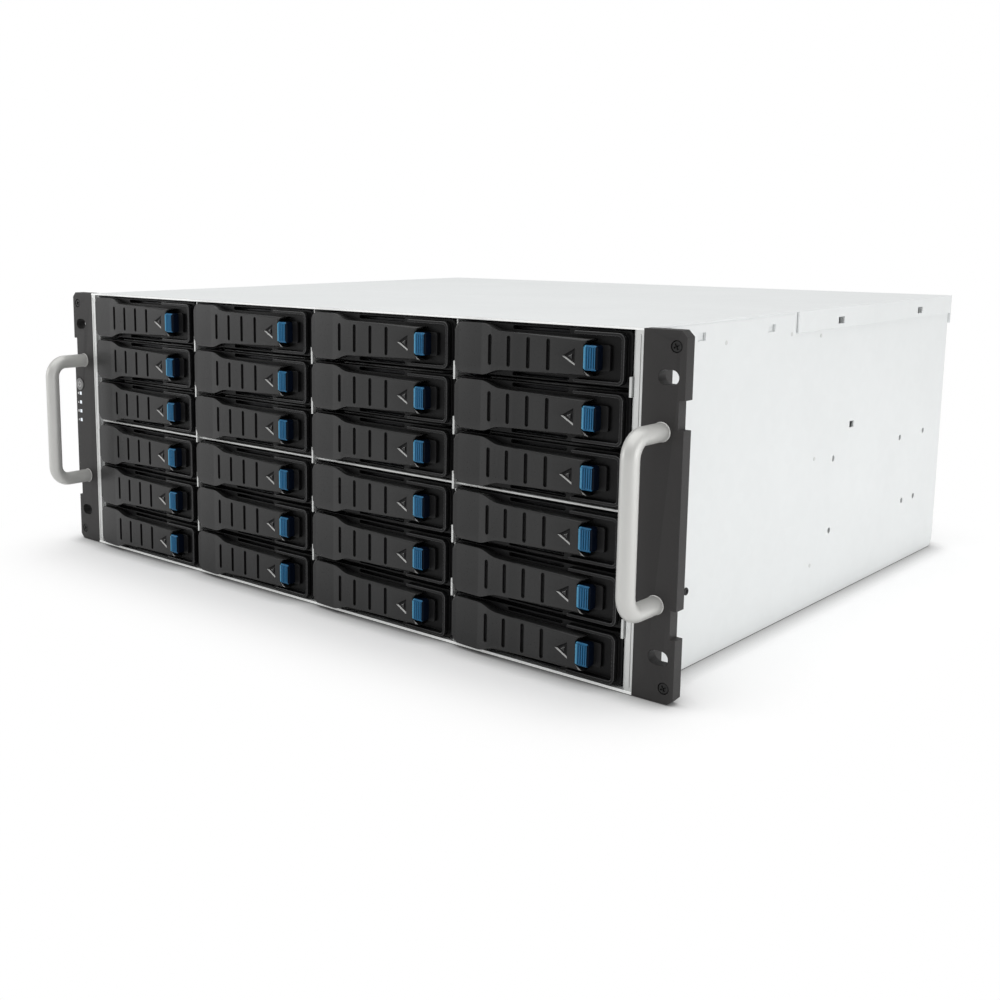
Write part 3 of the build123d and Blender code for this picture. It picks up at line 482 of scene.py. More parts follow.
finishes = {
    "sheet": finish("palestSheet", (0.815, 0.835, 0.835), (0.845, 0.865, 0.865), (0.40, 0.50), metallic=0.15,
                    spangle=0.15, bump=0.02),
    "strip": finish("brightSheet", (0.66, 0.67, 0.66), (0.72, 0.73, 0.72), (0.30, 0.42), metallic=0.3,
                    spangle=0.25, bump=0.03),
    # painted light: the lips' front faces are paler than the strip and glow, standing in for light that the trays keep
    # off them
    "lip": finish("lipPaintedGlow", (0.86, 0.87, 0.86), (0.91, 0.92, 0.91), (0.30, 0.42), emission=0.22, bump=0.02),
    "ear": finish("earPowderCoat", (0.014, 0.0132, 0.013), (0.019, 0.018, 0.0178), (0.44, 0.60), grain=1500.0,
                  bump=0.16, wearAndSheen=0.2, shine=0.25),
    "handle": finish("handleSatin", (0.56, 0.56, 0.54), (0.64, 0.64, 0.62), (0.32, 0.46), metallic=0.3,
                     stretch=(1, 1, 0.05), bump=0.04),
    "lever": finish("leverPlastic", (0.009, 0.009, 0.009), (0.013, 0.013, 0.013), (0.26, 0.36), grain=1300.0,
                    bump=0.07, wearAndSheen=0.2, shine=0.32),
    # painted highlight: a pale grey that stands for light on the black lever's arrow slope and the edge below the
    # catch
    "leverPaintedGlint": finish("leverPaintedHighlight", (0.46, 0.46, 0.45), (0.56, 0.56, 0.55), (0.18, 0.28), bump=0.03),
    "bezel": finish("bezelPlastic", (0.0028, 0.0028, 0.0030), (0.0046, 0.0046, 0.0050), (0.32, 0.44),
                    grain=1300.0, bump=0.06, wearAndSheen=0.12, shine=0.18),
    # painted highlight on the front edge of the bezel rim
    "bezelPaintedGlint": finish("bezelPaintedHighlight", (0.030, 0.030, 0.031), (0.045, 0.045, 0.046), (0.22, 0.32), bump=0.03),
    "catch": finish("catchPlastic", (0.004, 0.060, 0.135), (0.008, 0.090, 0.190), (0.26, 0.36), grain=700.0,
                    bump=0.03, wearAndSheen=0.2, shine=0.22),
    # the catch's accents: painted shade between the ridges and on the side, and a painted highlight on the left edge
    "catchPaintedGapShade": finish("catchPaintedGrooveShade", (0.0018, 0.018, 0.046), (0.003, 0.028, 0.066), (0.34, 0.46), grain=700.0,
                       bump=0.03, shine=0.1),
    "catchPaintedShade": finish("catchShade", (0.0012, 0.0035, 0.010), (0.002, 0.006, 0.015), (0.34, 0.46), grain=700.0,
                        bump=0.03, shine=0.1),
    "catchPaintedHighlight": finish("catchGleam", (0.04, 0.24, 0.42), (0.07, 0.32, 0.52), (0.20, 0.30), grain=700.0,
                        bump=0.03),
    # painted shade: the carrier, the drive casting and the drive lid are far darker than their metal, so that the gaps
    # between the trays read black
    "carrier": finish("carrierPaintedShade", (0.15, 0.155, 0.16), (0.21, 0.215, 0.22), (0.34, 0.48), metallic=0.8,
                      spangle=0.3, bump=0.03),
    "drive": finish("driveCastingPaintedShade", (0.045, 0.045, 0.048), (0.07, 0.07, 0.074), (0.42, 0.56), metallic=0.6,
                    grain=600.0, bump=0.12),
    "lid": finish("driveLid", (0.06, 0.06, 0.06), (0.09, 0.09, 0.09), (0.34, 0.46), metallic=0.7,
                  stretch=(1, 0.06, 1), bump=0.04),
    "board": finish("boardMask", (0.006, 0.05, 0.022), (0.012, 0.08, 0.035), (0.28, 0.42), grain=260.0, bump=0.12),
    "socket": finish("socketPlastic", (0.012, 0.012, 0.012), (0.022, 0.022, 0.022), (0.42, 0.56), bump=0.06),
    "fan": finish("fanPlastic", (0.010, 0.010, 0.011), (0.018, 0.018, 0.019), (0.34, 0.48), bump=0.06),
    "runner": finish("runnerPlastic", (0.06, 0.062, 0.066), (0.09, 0.092, 0.096), (0.40, 0.54), bump=0.06),
    "module": finish("moduleSheet", (0.40, 0.41, 0.42), (0.50, 0.51, 0.52), (0.30, 0.44), metallic=0.75,
                     spangle=0.25, bump=0.04),
    "screwBlack": finish("blackScrew", (0.012, 0.012, 0.012), (0.020, 0.020, 0.020), (0.36, 0.50), metallic=0.2,
                         bump=0.05, wearAndSheen=0.1, shine=0.3),
    "knob": finish("knobNickel", (0.54, 0.54, 0.52), (0.66, 0.66, 0.64), (0.22, 0.36), metallic=0.9, bump=0.04),
    "lens": finish("lampLens", (0.62, 0.66, 0.70), (0.80, 0.84, 0.88), (0.10, 0.18), emission=0.55, bump=0.02),
    "ink": finish("paintedMark", (0.62, 0.62, 0.62), (0.74, 0.74, 0.74), (0.46, 0.58), bump=0.02),
    "button": finish("buttonPlastic", (0.085, 0.085, 0.085), (0.115, 0.115, 0.115), (0.26, 0.38), coat=0.2,
                     bump=0.04, wearAndSheen=0.3),
}
print("finishes ready")

bezel = {"width": 104.4, "height": 26.8, "back": -2.5, "floor": -5.2, "rimFront": -9.0, "corner": 2.2,
         "rimStart": 22.0, "rimEnd": 50.0, "rimHalf": 12.4, "rimWall": 1.6, "ventWidth": 34.0, "ventZ": 11.6}
lever = {"left": -51.2, "high": 13.0, "neck": 9.8, "tip": 8.9, "bend": (-32.7, -20.2), "end": 33.4,
         "corner": 3.6, "back": -5.5, "front": -11.5, "rim": 1.25, "bow": 2.0, "bowEnd": -8.0, "slotCount": 4,
         "slotPitch": 12.0, "slotWidth": 2.2, "slotHeight": 15.6, "slotDepth": 1.6, "firstSlot": -27.2, "tongueEnd": 41.2, "tongueFront": -7.0,
         "pivot": (-48.2, -8.5), "heel": 3.1}
catch = {"left": 29.2, "right": 37.2, "half": 6.2, "back": -7.1, "front": -12.2, "ridges": 4, "ridgePitch": 1.35,
         "ridgeRadius": 0.46, "firstRidge": 32.2, "lipX": 30.5, "lipRadius": 0.95, "lipDeep": 0.4}
mark = {"left": 17.0, "right": 24.4, "half": 4.2, "slope": 0.6, "depth": 0.8, "island": 0.3}


def makeBezel():
    w, h = bezel["width"] / 2, bezel["height"] / 2
    plate = prism("bezelMaster", roundedBox(-w, -h, w, h, bezel["corner"], 3), bezel["back"], bezel["floor"])
    x0, x1, z1, wall = bezel["rimStart"], bezel["rimEnd"], bezel["rimHalf"], bezel["rimWall"]
    outer = [(x0, -z1)] + arc(x1 - 3.4, -z1 + 3.4, 3.4, 270, 360) + arc(x1 - 3.4, z1 - 3.4, 3.4, 0, 90) + [(x0, z1)]
    xi, zi = x1 - wall, z1 - wall
    inner = [(x0, zi)] + arc(xi - 1.9, zi - 1.9, 1.9, 90, 0) + arc(xi - 1.9, -zi + 1.9, 1.9, 360, 270) + [(x0, -zi)]
    rim = prism("rim", outer + inner, bezel["floor"] + 1.0, bezel["rimFront"])
    combine(plate, [rim], "UNION")
    half = bezel["ventWidth"] / 2
    vents = [prism("vent", roundedBox(-half, z - 0.9, half, z + 0.9, 0.8, 3), 0, -8)
             for z in (-bezel["ventZ"], bezel["ventZ"])]
    combine(plate, vents, "DIFFERENCE")
    # the front edge faces of the rim take the paler accent, a painted highlight
    return tinted(soften(plate, 0.32, 2), lambda x, y, z, normal: int(
        y < bezel["rimFront"] + 0.34 and abs(normal.y) < 0.93))


def makeLever():
    left, high, neck, tip, end = (lever[k] for k in ("left", "high", "neck", "tip", "end"))
    start, stop = lever["bend"]
    gap, hold = catch["left"] - 0.15, catch["half"] + 0.25
    bend = []
    for i in range(9):
        t = i / 8
        bend.append((start + (stop - start) * t, high - (high - neck) * t * t * (3 - 2 * t)))
    corner = lever["corner"]
    upper = arc(left + corner, high - corner, corner, 180, 90, 5) + bend + [(end, tip), (gap, hold)]
    outline = upper + [(x, -z) for x, z in reversed(upper)]
    inside = gap + 0.05

    def besideCatch(edge):
        return all(abs(v.co.x - gap * mm) < 0.02 * mm and abs(v.co.z) < hold * mm + 0.00001 for v in edge.verts)

    arm = prism("leverMaster", outline, lever["back"], lever["front"], rim=lever["rim"], keepSharp=besideCatch)
    tongue = prism("tongue", roundedBox(inside - 4, -catch["half"], lever["tongueEnd"], catch["half"], 1.0, 3),
                   lever["back"], lever["tongueFront"])
    combine(arm, [tongue], "UNION")
    slope, deep = mark["slope"], mark["depth"]
    small = [(mark["left"] + 2.0 * slope, 0), (mark["right"] - slope, mark["half"] - 1.6 * slope),
             (mark["right"] - slope, -mark["half"] + 1.6 * slope)]
    large = [(mark["left"], 0), (mark["right"], mark["half"]), (mark["right"], -mark["half"])]
    spread = [(s[0] + (l[0] - s[0]) * 1.5, s[1] + (l[1] - s[1]) * 1.5) for s, l in zip(small, large)]
    arrow = prism("arrow", small, lever["front"] + deep, lever["front"] - deep / 2, frontOutline=spread)
    combine(arm, [arrow], "DIFFERENCE")
    middle, size = mark["right"] - 2.6, mark["island"]
    island = prism("island", [(middle + (x - middle) * size, z * size) for x, z in large], lever["front"] + deep + 0.3,
                   lever["front"] + deep * 0.35)
    combine(arm, [island], "UNION")
    grown(arm, slotTree, {
        "Count": lever["slotCount"], "Pitch": lever["slotPitch"] * mm, "Width": lever["slotWidth"] * mm,
        "Height": lever["slotHeight"] * mm, "Depth": 3 * mm, "Material": finishes["lever"],
        "First": (lever["firstSlot"] * mm, (lever["front"] + lever["slotDepth"]) * mm, 0)})

    def bowed(bm):
        # the face falls back in a slow curve towards its free end
        reach = left - lever["bowEnd"]
        for i in range(1, 13):
            bmesh.ops.bisect_plane(bm, geom=bm.verts[:] + bm.edges[:] + bm.faces[:], dist=0.0000001,
                                   plane_co=((left - reach * i / 12) * mm, 0, 0), plane_no=(1, 0, 0))
        for v in bm.verts:
            along = min(1.0, max(0.0, (v.co.x / mm - lever["bowEnd"]) / reach))
            forward = min(1.0, max(0.0, (v.co.y / mm - lever["back"]) / (lever["front"] - lever["back"])))
            v.co.y += lever["bow"] * mm * along * along * forward
        # the heel is round about the hinge, so that it clears the bezel when the lever opens
        px, py = lever["pivot"]
        for step in (0.6, 1.2, 1.8, 2.4):
            bmesh.ops.bisect_plane(bm, geom=bm.verts[:] + bm.edges[:] + bm.faces[:], dist=0.0000001,
                                   plane_co=((px - step) * mm, 0, 0), plane_no=(1, 0, 0))
            bmesh.ops.bisect_plane(bm, geom=bm.verts[:] + bm.edges[:] + bm.faces[:], dist=0.0000001,
                                   plane_co=(0, (py + step) * mm, 0), plane_no=(0, 1, 0))
        for v in bm.verts:
            dx, dy = v.co.x / mm - px, v.co.y / mm - py
            far = math.hypot(dx, dy)
            if dx < 0 < dy and far > lever["heel"]:
                v.co.x, v.co.y = (px + dx * lever["heel"] / far) * mm, (py + dy * lever["heel"] / far) * mm

    def pick(x, y, z, normal):
        # 1 is a painted highlight: the arrow's lower slope and the edge below the catch; 2 is painted shade in the
        #                           darker bezel finish: the arrow and the tongue
        inArrow = (mark["left"] - 0.2 < x < mark["right"] + 0.2 and abs(z) < mark["half"] + 0.3
                   and lever["front"] + 0.02 < y < lever["front"] + deep + 0.1)
        belowCatch = gap - 0.2 < x < end + 0.3 and -tip - 0.3 < z < -hold + 0.2 and normal.x > 0.2
        if inArrow:
            onIsland = y < lever["front"] + deep * 0.35 + 0.1 and normal.y < -0.9
            return 1 if normal.z > 0.25 and y < lever["front"] + deep * 0.9 else 0 if onIsland else 2
        if belowCatch and lever["front"] + 0.2 < y < lever["front"] + 0.6:
            return 1
        return 2 if x > gap and y > lever["tongueFront"] - 0.3 else 0

    return tinted(soften(arm, 0.16, 2, shape=bowed), pick)


def makeCatch():
    left, right, half = catch["left"], catch["right"], catch["half"]
    block = prism("catchMaster", roundedBox(left, -half, right, half, 1.5, 4), catch["back"], catch["front"], rim=1.3)
    grown(block, ridgeTree, {
        "Count": catch["ridges"], "Pitch": catch["ridgePitch"] * mm, "Radius": catch["ridgeRadius"] * mm,
        "Height": (2 * half - 2.4) * mm, "Material": finishes["catch"],
        "First": (catch["firstRidge"] * mm, catch["front"] * mm, 0)})
    grown(block, ridgeTree, {
        "Count": 1, "Pitch": mm, "Radius": catch["lipRadius"] * mm, "Height": (2 * half - 2.2) * mm,
        "Material": finishes["catch"], "First": (catch["lipX"] * mm, (catch["front"] + catch["lipDeep"]) * mm, 0)})

    def pick(x, y, z, normal):
        # 1 is painted shade on the right side and the ends, 2 a painted highlight on the left edge, 3 painted shade on
        # the flat face between the ridges
        onEdge = x < catch["lipX"] + catch["lipRadius"] and y < catch["front"] + 1.7 and normal.x < 0.6
        flat = normal.y < -0.99 and y > catch["front"] - 0.02
        return 1 if normal.x > 0.4 and x > right - 1.6 or abs(normal.z) > 0.8 else 3 if flat else 2 if onEdge else 0

    return tinted(soften(block, 0.08, 2), pick)


carrier = {"half": 52.2, "bottom": -13.0, "height": 13.0, "wall": 1.2, "floor": 0.6, "front": -2.4, "rear": 148.0}
drive = {"half": 50.8, "bottom": -12.3, "height": 26.1, "front": 0.5, "rear": 147.5, "lid": 2.0, "lidInset": 2.6}


def makeCarrier():
    half, low, wall = carrier["half"], carrier["bottom"], carrier["wall"]
    top, floor = low + carrier["height"], low + carrier["floor"]
    outline = [(-half, low), (half, low), (half, top), (half - wall, top), (half - wall, floor),
               (-half + wall, floor), (-half + wall, top), (-half, top)]
    channel = prism("carrierMaster", outline, carrier["rear"], carrier["front"])
    window = box("window", (-half + 15, 17.6, low - 1), (half - 15, 128.0, floor + 1))
    ports = []
    for y in (16, 46, 76, 106, 136):
        ports.append(box("port", (-half - 1, y - 6, low + 5.0), (half + 1, y + 6, low + 8.4)))
    combine(channel, [window, *ports], "DIFFERENCE")
    return soften(channel, 0.15, 1)


def makeDrive():
    half, low, lid = drive["half"], drive["bottom"], drive["lid"]
    top = low + drive["height"]
    case = box("driveMaster", (-half, drive["front"], low), (half, drive["rear"], top - lid))
    pockets = [box("pocket", (side * half - 3, y, low + 4), (side * half + 3, y + 22, low + 9))
               for side in (-1, 1) for y in (20, 62, 104)]
    combine(case, pockets, "DIFFERENCE")
    return soften(case, 0.5, 2)


def makeLid():
    half, inset = drive["half"], drive["lidInset"]
    top = drive["bottom"] + drive["height"]
    bm = bmesh.new()
    x, y0, y1 = half - inset, drive["front"] + inset, drive["rear"] - inset
    cut = 11.0
    outline = [(-x + cut, y0), (x - cut, y0), (x, y0 + cut), (x, y1 - cut), (x - cut, y1), (-x + cut, y1),
               (-x, y1 - cut), (-x, y0 + cut)]
    low = [bm.verts.new((a * mm, b * mm, (top - drive["lid"] + 0.02) * mm)) for a, b in outline]
    high = [bm.verts.new((a * mm, b * mm, top * mm)) for a, b in outline]
    bm.faces.new(low)
    bm.faces.new(high)
    for i in range(8):
        j = (i + 1) % 8
        bm.faces.new((low[i], low[j], high[j], high[i]))
    plate = fromBmesh(bm, "lidMaster")
    return soften(plate, 0.6, 2)


masters = {"bezel": makeBezel(), "lever": makeLever(), "catch": makeCatch(), "carrier": makeCarrier(),
           "drive": makeDrive(), "lid": makeLid()}
for kind, made in masters.items():
    print(kind, len(made.data.polygons))

for r, z in enumerate(bays["rowZ"]):
    for c, x in enumerate(columnX):
        bay = f"r{r + 1}c{c + 1}"
        tray = f"tray_{bay}"
        placePiece(copyTo(masters["bezel"], f"bezelFront_{bay}", x, z), tray, finishes["bezel"], "tray_black", tray,
                   accents=(finishes["bezelPaintedGlint"],))
        placePiece(copyTo(masters["carrier"], f"carrierRails_{bay}", x, z), tray, finishes["carrier"], "galvanised")
        placePiece(copyTo(masters["drive"], f"diskDrive_{bay}", x, z), tray, finishes["drive"], "galvanised")
        placePiece(copyTo(masters["lid"], f"driveLid_{bay}", x, z), tray, finishes["lid"], "galvanised")
        armBody, armNodes = (f"lever_{bay}", [f"lever_{bay}"]) if r == 0 else (tray, [])
        keyBody, keyNodes = (f"catch_{bay}", [f"catch_{bay}"]) if r == 0 else (tray, [])
        # the lever's accents are a painted highlight, and the bezel finish as painted shade in the arrow and on the
        # tongue
        placePiece(copyTo(masters["lever"], f"leverArm_{bay}", x, z), armBody, finishes["lever"], "tray_black",
                   *armNodes, accents=(finishes["leverPaintedGlint"], finishes["bezel"]))
        placePiece(copyTo(masters["catch"], f"catchKey_{bay}", x, z), keyBody, finishes["catch"], "catch_blue",
                   *keyNodes, accents=(finishes["catchPaintedShade"], finishes["catchPaintedHighlight"], finishes["catchPaintedGapShade"]))
for made in masters.values():
    bpy.data.objects.remove(made)
print("trays ready")

sheetNodes = {"chassis_tub": ("bodyTub", "chassis", 0.25), "front_cover": ("coverFront", "chassis", 0.25),
              "rear_cover": ("coverRear", "rear_cover", 0.25), "rear_panel": ("panelRear", "chassis", 0.2),
              "drive_cage": ("bayDividers", "chassis", 0.15), "mid_shelf": ("bayShelf", "chassis", 0.2)}
for node, (name, bodyName, width) in sheetNodes.items():
    tone = "strip" if node in ("drive_cage", "mid_shelf") else "sheet"
    placePiece(dressed(node, name, width), bodyName, finishes[tone], "galvanised", node)
for side in ("left", "right"):
    plate = linked(f"{side}EarPlate", cadNodes[f"{side}_ear"].data.copy())
    placePiece(soften(plate, 0.5, 2), "chassis", finishes["ear"], "ear_black", f"{side}_ear")
cap = linked("buttonCap", cadNodes["power_button"].data.copy())
placePiece(soften(cap, 0.35, 3), "power_button", finishes["button"], "button_black", "power_button")

# the turned front edge of the body, seen as a bright line all round the trays
flange = {"outer": 219.0, "inner": 214.8, "top": 177.0, "lipTop": 176.0, "lipLow": 1.4, "back": -4.9, "front": -6.9,
          "lipFront": -7.1, "seam": 217.4, "seamDepth": 0.8}
outerX, innerX, seam = flange["outer"], flange["inner"], flange["seam"]
flangeBars = [box("flangeBar", (x0, front, z0), (x1, flange["back"], z1)) for x0, x1, z0, z1, front in (
    (-outerX, outerX, flange["lipTop"], flange["top"], flange["lipFront"]),
    (-outerX, outerX, 0.0, flange["lipLow"], flange["lipFront"]),
    (-outerX, -innerX, 0.5, flange["top"] - 0.5, flange["front"]),
    (innerX, outerX, 0.5, flange["top"] - 0.5, flange["front"]))]
turned = combine(flangeBars[0], flangeBars[1:], "UNION")
turned.name = "frontFlange"
combine(turned, [box("seam", (min(s * seam, s * (seam + 0.4)), flange["front"] - 1, 3.0),
                     (max(s * seam, s * (seam + 0.4)), flange["front"] + flange["seamDepth"], 174.0))
                 for s in (-1, 1)], "DIFFERENCE")
# the lips' front faces take the glowing lip finish, which is painted light
tinted(soften(turned, 0.06, 1), lambda x, y, z, normal: int(y < flange["front"] - 0.02))
placePiece(turned, "chassis", finishes["strip"], "galvanised", accents=(finishes["lip"],))

grip = {"x": 230.0, "top": 129.75, "low": 47.25, "reach": 26.5, "radius": 4.5, "bend": 10.0}
for side, name in ((-1, "left"), (1, "right")):
    x, y0, y1 = side * grip["x"], body["earFace"], body["earFace"] - grip["reach"]
    mesh = bpy.data.meshes.new(f"{name}GripBar")
    path = [(x, y0, grip["top"]), (x, y1, grip["top"]), (x, y1, grip["low"]), (x, y0, grip["low"])]
    mesh.from_pydata([tuple(v * mm for v in p) for p in path], [(0, 1), (1, 2), (2, 3)], [])
    bar = grown(linked(f"{name}GripBar", mesh), handleTree,
                {"Bend": grip["bend"] * mm, "Radius": grip["radius"] * mm, "Material": finishes["handle"]})
    bar.data.shade_smooth()
    bar.data.set_sharp_from_angle(angle=math.radians(50))
    placePiece(bar, "chassis", finishes["handle"], "handle_silver", f"{name}_handle")

screws = {
    "earScrews": {"places": [(s * 236.0, -6.1, z) for s in (-1, 1) for z in (7.5, 169.5)], "turn": (90, 0, 0),
                  "radius": 2.6, "height": 1.0, "finish": "screwBlack", "slot": "ear_black"},
    "sideScrews": {"places": [(219.1, 41.8, 41.2)], "turn": (0, 90, 0), "radius": 2.0, "height": 0.8,
                   "finish": "screwBlack", "slot": "ear_black"},
}
for name, s in screws.items():
    made = grown(points(name, s["places"]), screwTree, {
        "Radius": s["radius"] * mm, "Height": s["height"] * mm, "Cross Width": 0.75 * mm,
        "Cross Length": s["radius"] * 1.25 * mm, "Turn": tuple(math.radians(a) for a in s["turn"]),
        "Material": finishes[s["finish"]]})
    placePiece(made, "chassis", finishes[s["finish"]], s["slot"])

tabs = {"x": (-106.6, 0.1, 106.8, 213.0), "back": -4.7, "front": -7.4, "middle": 90.4, "count": 5, "pitch": 29.3,
        "width": 1.2, "height": 9.6}
made = grown(points("junctionTabs", [(x, (tabs["back"] + tabs["front"]) / 2, tabs["middle"]) for x in tabs["x"]]),
             tabTree, {"Count": tabs["count"], "Pitch": tabs["pitch"] * mm, "Width": tabs["width"] * mm,
                       "Height": tabs["height"] * mm, "Reach": (tabs["back"] - tabs["front"]) * mm,
                       "Material": finishes["strip"]})
placePiece(made, "chassis", finishes["strip"], "galvanised")

bosses = {
    "sideDimples": {"places": [(219.02, y, z) for y, z in ((73, 165), (148.5, 164.8), (187, 161.7), (187.2, 89.8),
                                                          (189.4, 25.2))],
                    "turn": (0, 90, 0), "radius": 1.2, "height": 0.2, "finish": "strip", "slot": "galvanised"},
    "legCollars": {"places": [(s * grip["x"], body["earFace"] - 0.25, z) for s in (-1, 1)
                              for z in (grip["top"], grip["low"])],
                   "turn": (90, 0, 0), "radius": 4.8, "height": 0.5, "finish": "handle", "slot": "handle_silver"},
}
for name, b in bosses.items():
    made = grown(points(name, b["places"]), discTree, {
        "Radius": b["radius"] * mm, "Height": b["height"] * mm, "Taper": 0.9,
        "Turn": tuple(math.radians(a) for a in b["turn"]), "Material": finishes[b["finish"]]})
    placePiece(made, "chassis", finishes[b["finish"]], b["slot"])

# painted marks of the left ear: the power sign on its button, and one small sign beside each lamp
signs = {"x": -236.2, "button": 112.3, "lamps": (105.7, 99.35, 93.0, 86.65), "front": -7.03, "size": 0.8,
         "ring": 1.9, "line": 0.4}


def ringSector(name, cx, cz, radius, line, start, end, front):
    outer, inner = arc(cx, cz, radius, start, end, 20), arc(cx, cz, radius - line, end, start, 20)
    return prism(name, outer + inner, front + 0.04, front)


x, s = signs["x"], signs["size"]
power = ringSector("powerRing", x, signs["button"], signs["ring"], signs["line"], 125, 415, -7.62)
bar = prism("powerBar", [(x - 0.2, signs["button"] + 0.4), (x + 0.2, signs["button"] + 0.4),
                         (x + 0.2, signs["button"] + 2.3), (x - 0.2, signs["button"] + 2.3)], -7.58, -7.62)
for piece in (power, bar):
    placePiece(piece, "power_button", finishes["ink"], "lens_clear")
left = x - 2.7
for n, z in enumerate(signs["lamps"]):
    shape = [arc(left, z, s, 0, 360 - 360 / 12, 11), [(left - s, z - s), (left + s, z - s), (left, z + s)],
             [(left - s, z - s), (left + s, z - s), (left + s, z + s), (left - s, z + s)],
             [(left, z - s), (left + s, z), (left, z + s), (left - s, z)]][n]
    placePiece(prism(f"lampSign{n + 1}", shape, signs["front"] + 0.02, signs["front"]), "chassis", finishes["ink"],
               "lens_clear")

# the rest keep the shapes of their CAD nodes
kept = {"tray_runners": "runner", "backplane_board": "board", "backplane_sockets": "socket", "fan_wall": "strip",
        "fan_frames": "fan", "fan_rotor_1": "fan", "fan_rotor_2": "fan", "fan_rotor_3": "fan",
        "expander_board": "board", "port_cages": "module", "psu_cage": "strip", "psu_1": "module",
        "psu_2": "module", "status_lenses": "lens", "control_board": "board", "thumbscrew_left": "knob",
        "thumbscrew_right": "knob"}
for node, tone in kept.items():
    cadNodes[node].data.materials.clear()
    cadNodes[node].data.materials.append(finishes[tone])
print("body ready")

# the floor's colour is darkened by ambient occlusion beside the shelf, a painted contact shadow added to the shadow
# the lamps cast, and turns plain white further out
stage = {"floor": 6.0, "white": (0.9, 0.9, 0.9), "glow": 0.17, "middle": (0.0, 0.19), "half": (0.22, 0.21),
         "near": 0.004, "far": 0.095, "paintedShadowReach": 0.016}
floorMesh = bpy.data.meshes.new("studioFloor")
s = stage["floor"]
floorMesh.from_pydata([(-s, -s, -0.0004), (s, -s, -0.0004), (s, s, -0.0004), (-s, s, -0.0004)], [], [(0, 1, 2, 3)])
floor = linked("studioFloor", floorMesh)
floorSkin = bpy.data.materials.new("floorWhite")
floorSkin.use_nodes = True
ft = floorSkin.node_tree
ft.nodes.clear()
ftOut = ft.nodes.new("ShaderNodeOutputMaterial")
# ambient occlusion darkens the floor's colour next to the shelf: a painted contact shadow
ftPaintedShadow = addNode(ft, "ShaderNodeAmbientOcclusion", {"Color": (*stage["white"], 1), "Distance": stage["paintedShadowReach"]})
ftMat = addNode(ft, "ShaderNodeBsdfDiffuse", {"Color": ftPaintedShadow.outputs["Color"]})
ftRay = addNode(ft, "ShaderNodeLightPath")
ftSeen = math2(ft, "MAXIMUM", ftRay.outputs["Is Camera Ray"], ftRay.outputs["Is Glossy Ray"])
ftGlow = addNode(ft, "ShaderNodeEmission", {"Color": ftPaintedShadow.outputs["Color"],
                                            "Strength": math2(ft, "MULTIPLY", ftSeen, stage["glow"])})
ftBoth = addNode(ft, "ShaderNodeAddShader")
ft.links.new(ftMat.outputs[0], ftBoth.inputs[0])
ft.links.new(ftGlow.outputs[0], ftBoth.inputs[1])
ftWhere = addNode(ft, "ShaderNodeTexCoord")
ftPlace = addNode(ft, "ShaderNodeSeparateXYZ", {"Vector": ftWhere.outputs["Object"]})
ftAway = []
for axis in (0, 1):
    offset = math2(ft, "ABSOLUTE", math2(ft, "SUBTRACT", ftPlace.outputs[axis], stage["middle"][axis]), 0.0)
    ftAway.append(math2(ft, "MAXIMUM", math2(ft, "SUBTRACT", offset, stage["half"][axis]), 0.0))
ftSpan = math2(ft, "SQRT", math2(ft, "ADD", math2(ft, "MULTIPLY", ftAway[0], ftAway[0]),
                                 math2(ft, "MULTIPLY", ftAway[1], ftAway[1])), 0.0)
ftFade = addNode(ft, "ShaderNodeMapRange", {"Value": ftSpan, "From Min": stage["near"], "From Max": stage["far"]},
                 interpolation_type="SMOOTHSTEP")
ftPlain = addNode(ft, "ShaderNodeEmission", {"Color": (1, 1, 1, 1), "Strength": 1.0})
ftMix = addNode(ft, "ShaderNodeMixShader", {"Fac": math2(ft, "MULTIPLY", ftFade.outputs[0],
                                                        ftRay.outputs["Is Camera Ray"])})
ft.links.new(ftBoth.outputs[0], ftMix.inputs[1])
ft.links.new(ftPlain.outputs[0], ftMix.inputs[2])
ft.links.new(ftMix.outputs[0], ftOut.inputs[0])
floorMesh.materials.append(floorSkin)

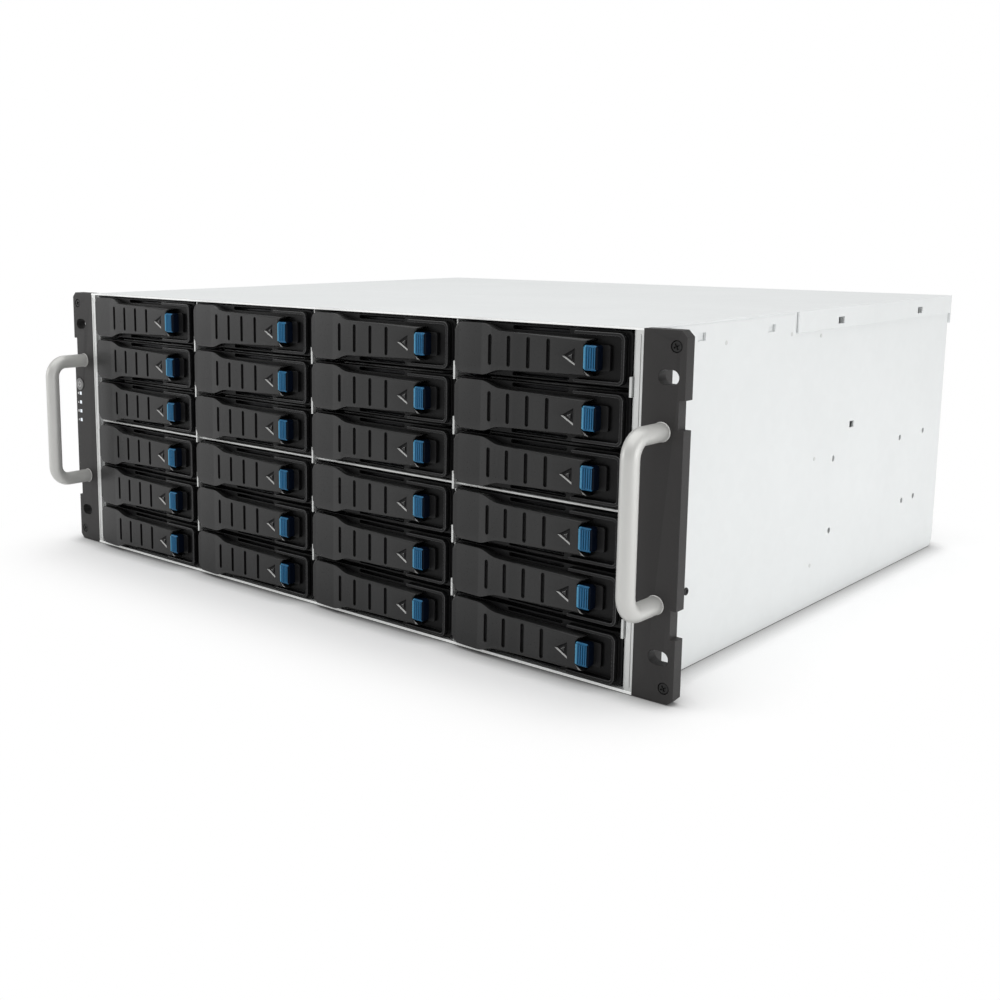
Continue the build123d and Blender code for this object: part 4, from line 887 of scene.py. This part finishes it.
world = bpy.data.worlds.new("studio")
scene.world = world
world.use_nodes = True
wt = world.node_tree
wt.nodes.clear()
wtOut = wt.nodes.new("ShaderNodeOutputWorld")
wtRay = addNode(wt, "ShaderNodeLightPath")
wtSeen = math2(wt, "MAXIMUM", wtRay.outputs["Is Camera Ray"], wtRay.outputs["Is Transmission Ray"])
wtLevel = math2(wt, "ADD", math2(wt, "MULTIPLY", wtSeen, 0.55), 0.45)
wtSky = addNode(wt, "ShaderNodeBackground", {"Color": (1, 1, 1, 1), "Strength": wtLevel})
wt.links.new(wtSky.outputs[0], wtOut.inputs[0])


def areaLight(name, place, target, size, power, tone=(1, 1, 1)):
    data = bpy.data.lights.new(name, "AREA")
    data.shape = "RECTANGLE"
    data.size, data.size_y = size
    data.energy = power
    data.color = tone
    made = bpy.data.objects.new(name, data)
    scene.collection.objects.link(made)
    made.location = place
    made.rotation_euler = (Vector(target) - Vector(place)).to_track_quat("-Z", "Y").to_euler()
    return made


lights = {
    "topSoft": ((0.0, 0.1, 1.7), (0, 0.15, 0.1), (2.8, 2.8), 28.5),
    "rightSoft": ((1.7, 0.3, 0.3), (0.2, 0.2, 0.06), (1.4, 0.6), 6.5),
    "frontSoft": ((-1.4, -0.9, 0.45), (-0.05, 0, 0.09), (0.7, 0.6), 4.2),
}
for name, (place, target, size, power) in lights.items():
    areaLight(name, place, target, size, power)

# the camera stands where the photograph was taken from
view = {"focal": 1256.65, "centre": (380.32, 431.31), "place": (0.521981, -0.514067, 0.222167),
        "right": (0.73461477, 0.67848123, 0.00208923), "forward": (-0.66952361, 0.72540797, -0.15975423),
        "up": (-0.10990579, 0.11595903, 0.98715461)}
cameraData = bpy.data.cameras.new("photoCamera")
cameraData.sensor_width = 36.0
cameraData.lens = view["focal"] * 36.0 / 1000.0
cameraData.shift_x = (500.0 - view["centre"][0]) / 1000.0
cameraData.shift_y = (view["centre"][1] - 500.0) / 1000.0
cameraData.clip_start = 0.01
camera = bpy.data.objects.new("photoCamera", cameraData)
scene.collection.objects.link(camera)
turn = Matrix((view["right"], view["up"], [-v for v in view["forward"]])).transposed().to_4x4()
camera.matrix_world = Matrix.Translation(view["place"]) @ turn
scene.camera = camera

scene.view_settings.view_transform = "Standard"
print("scene ready")
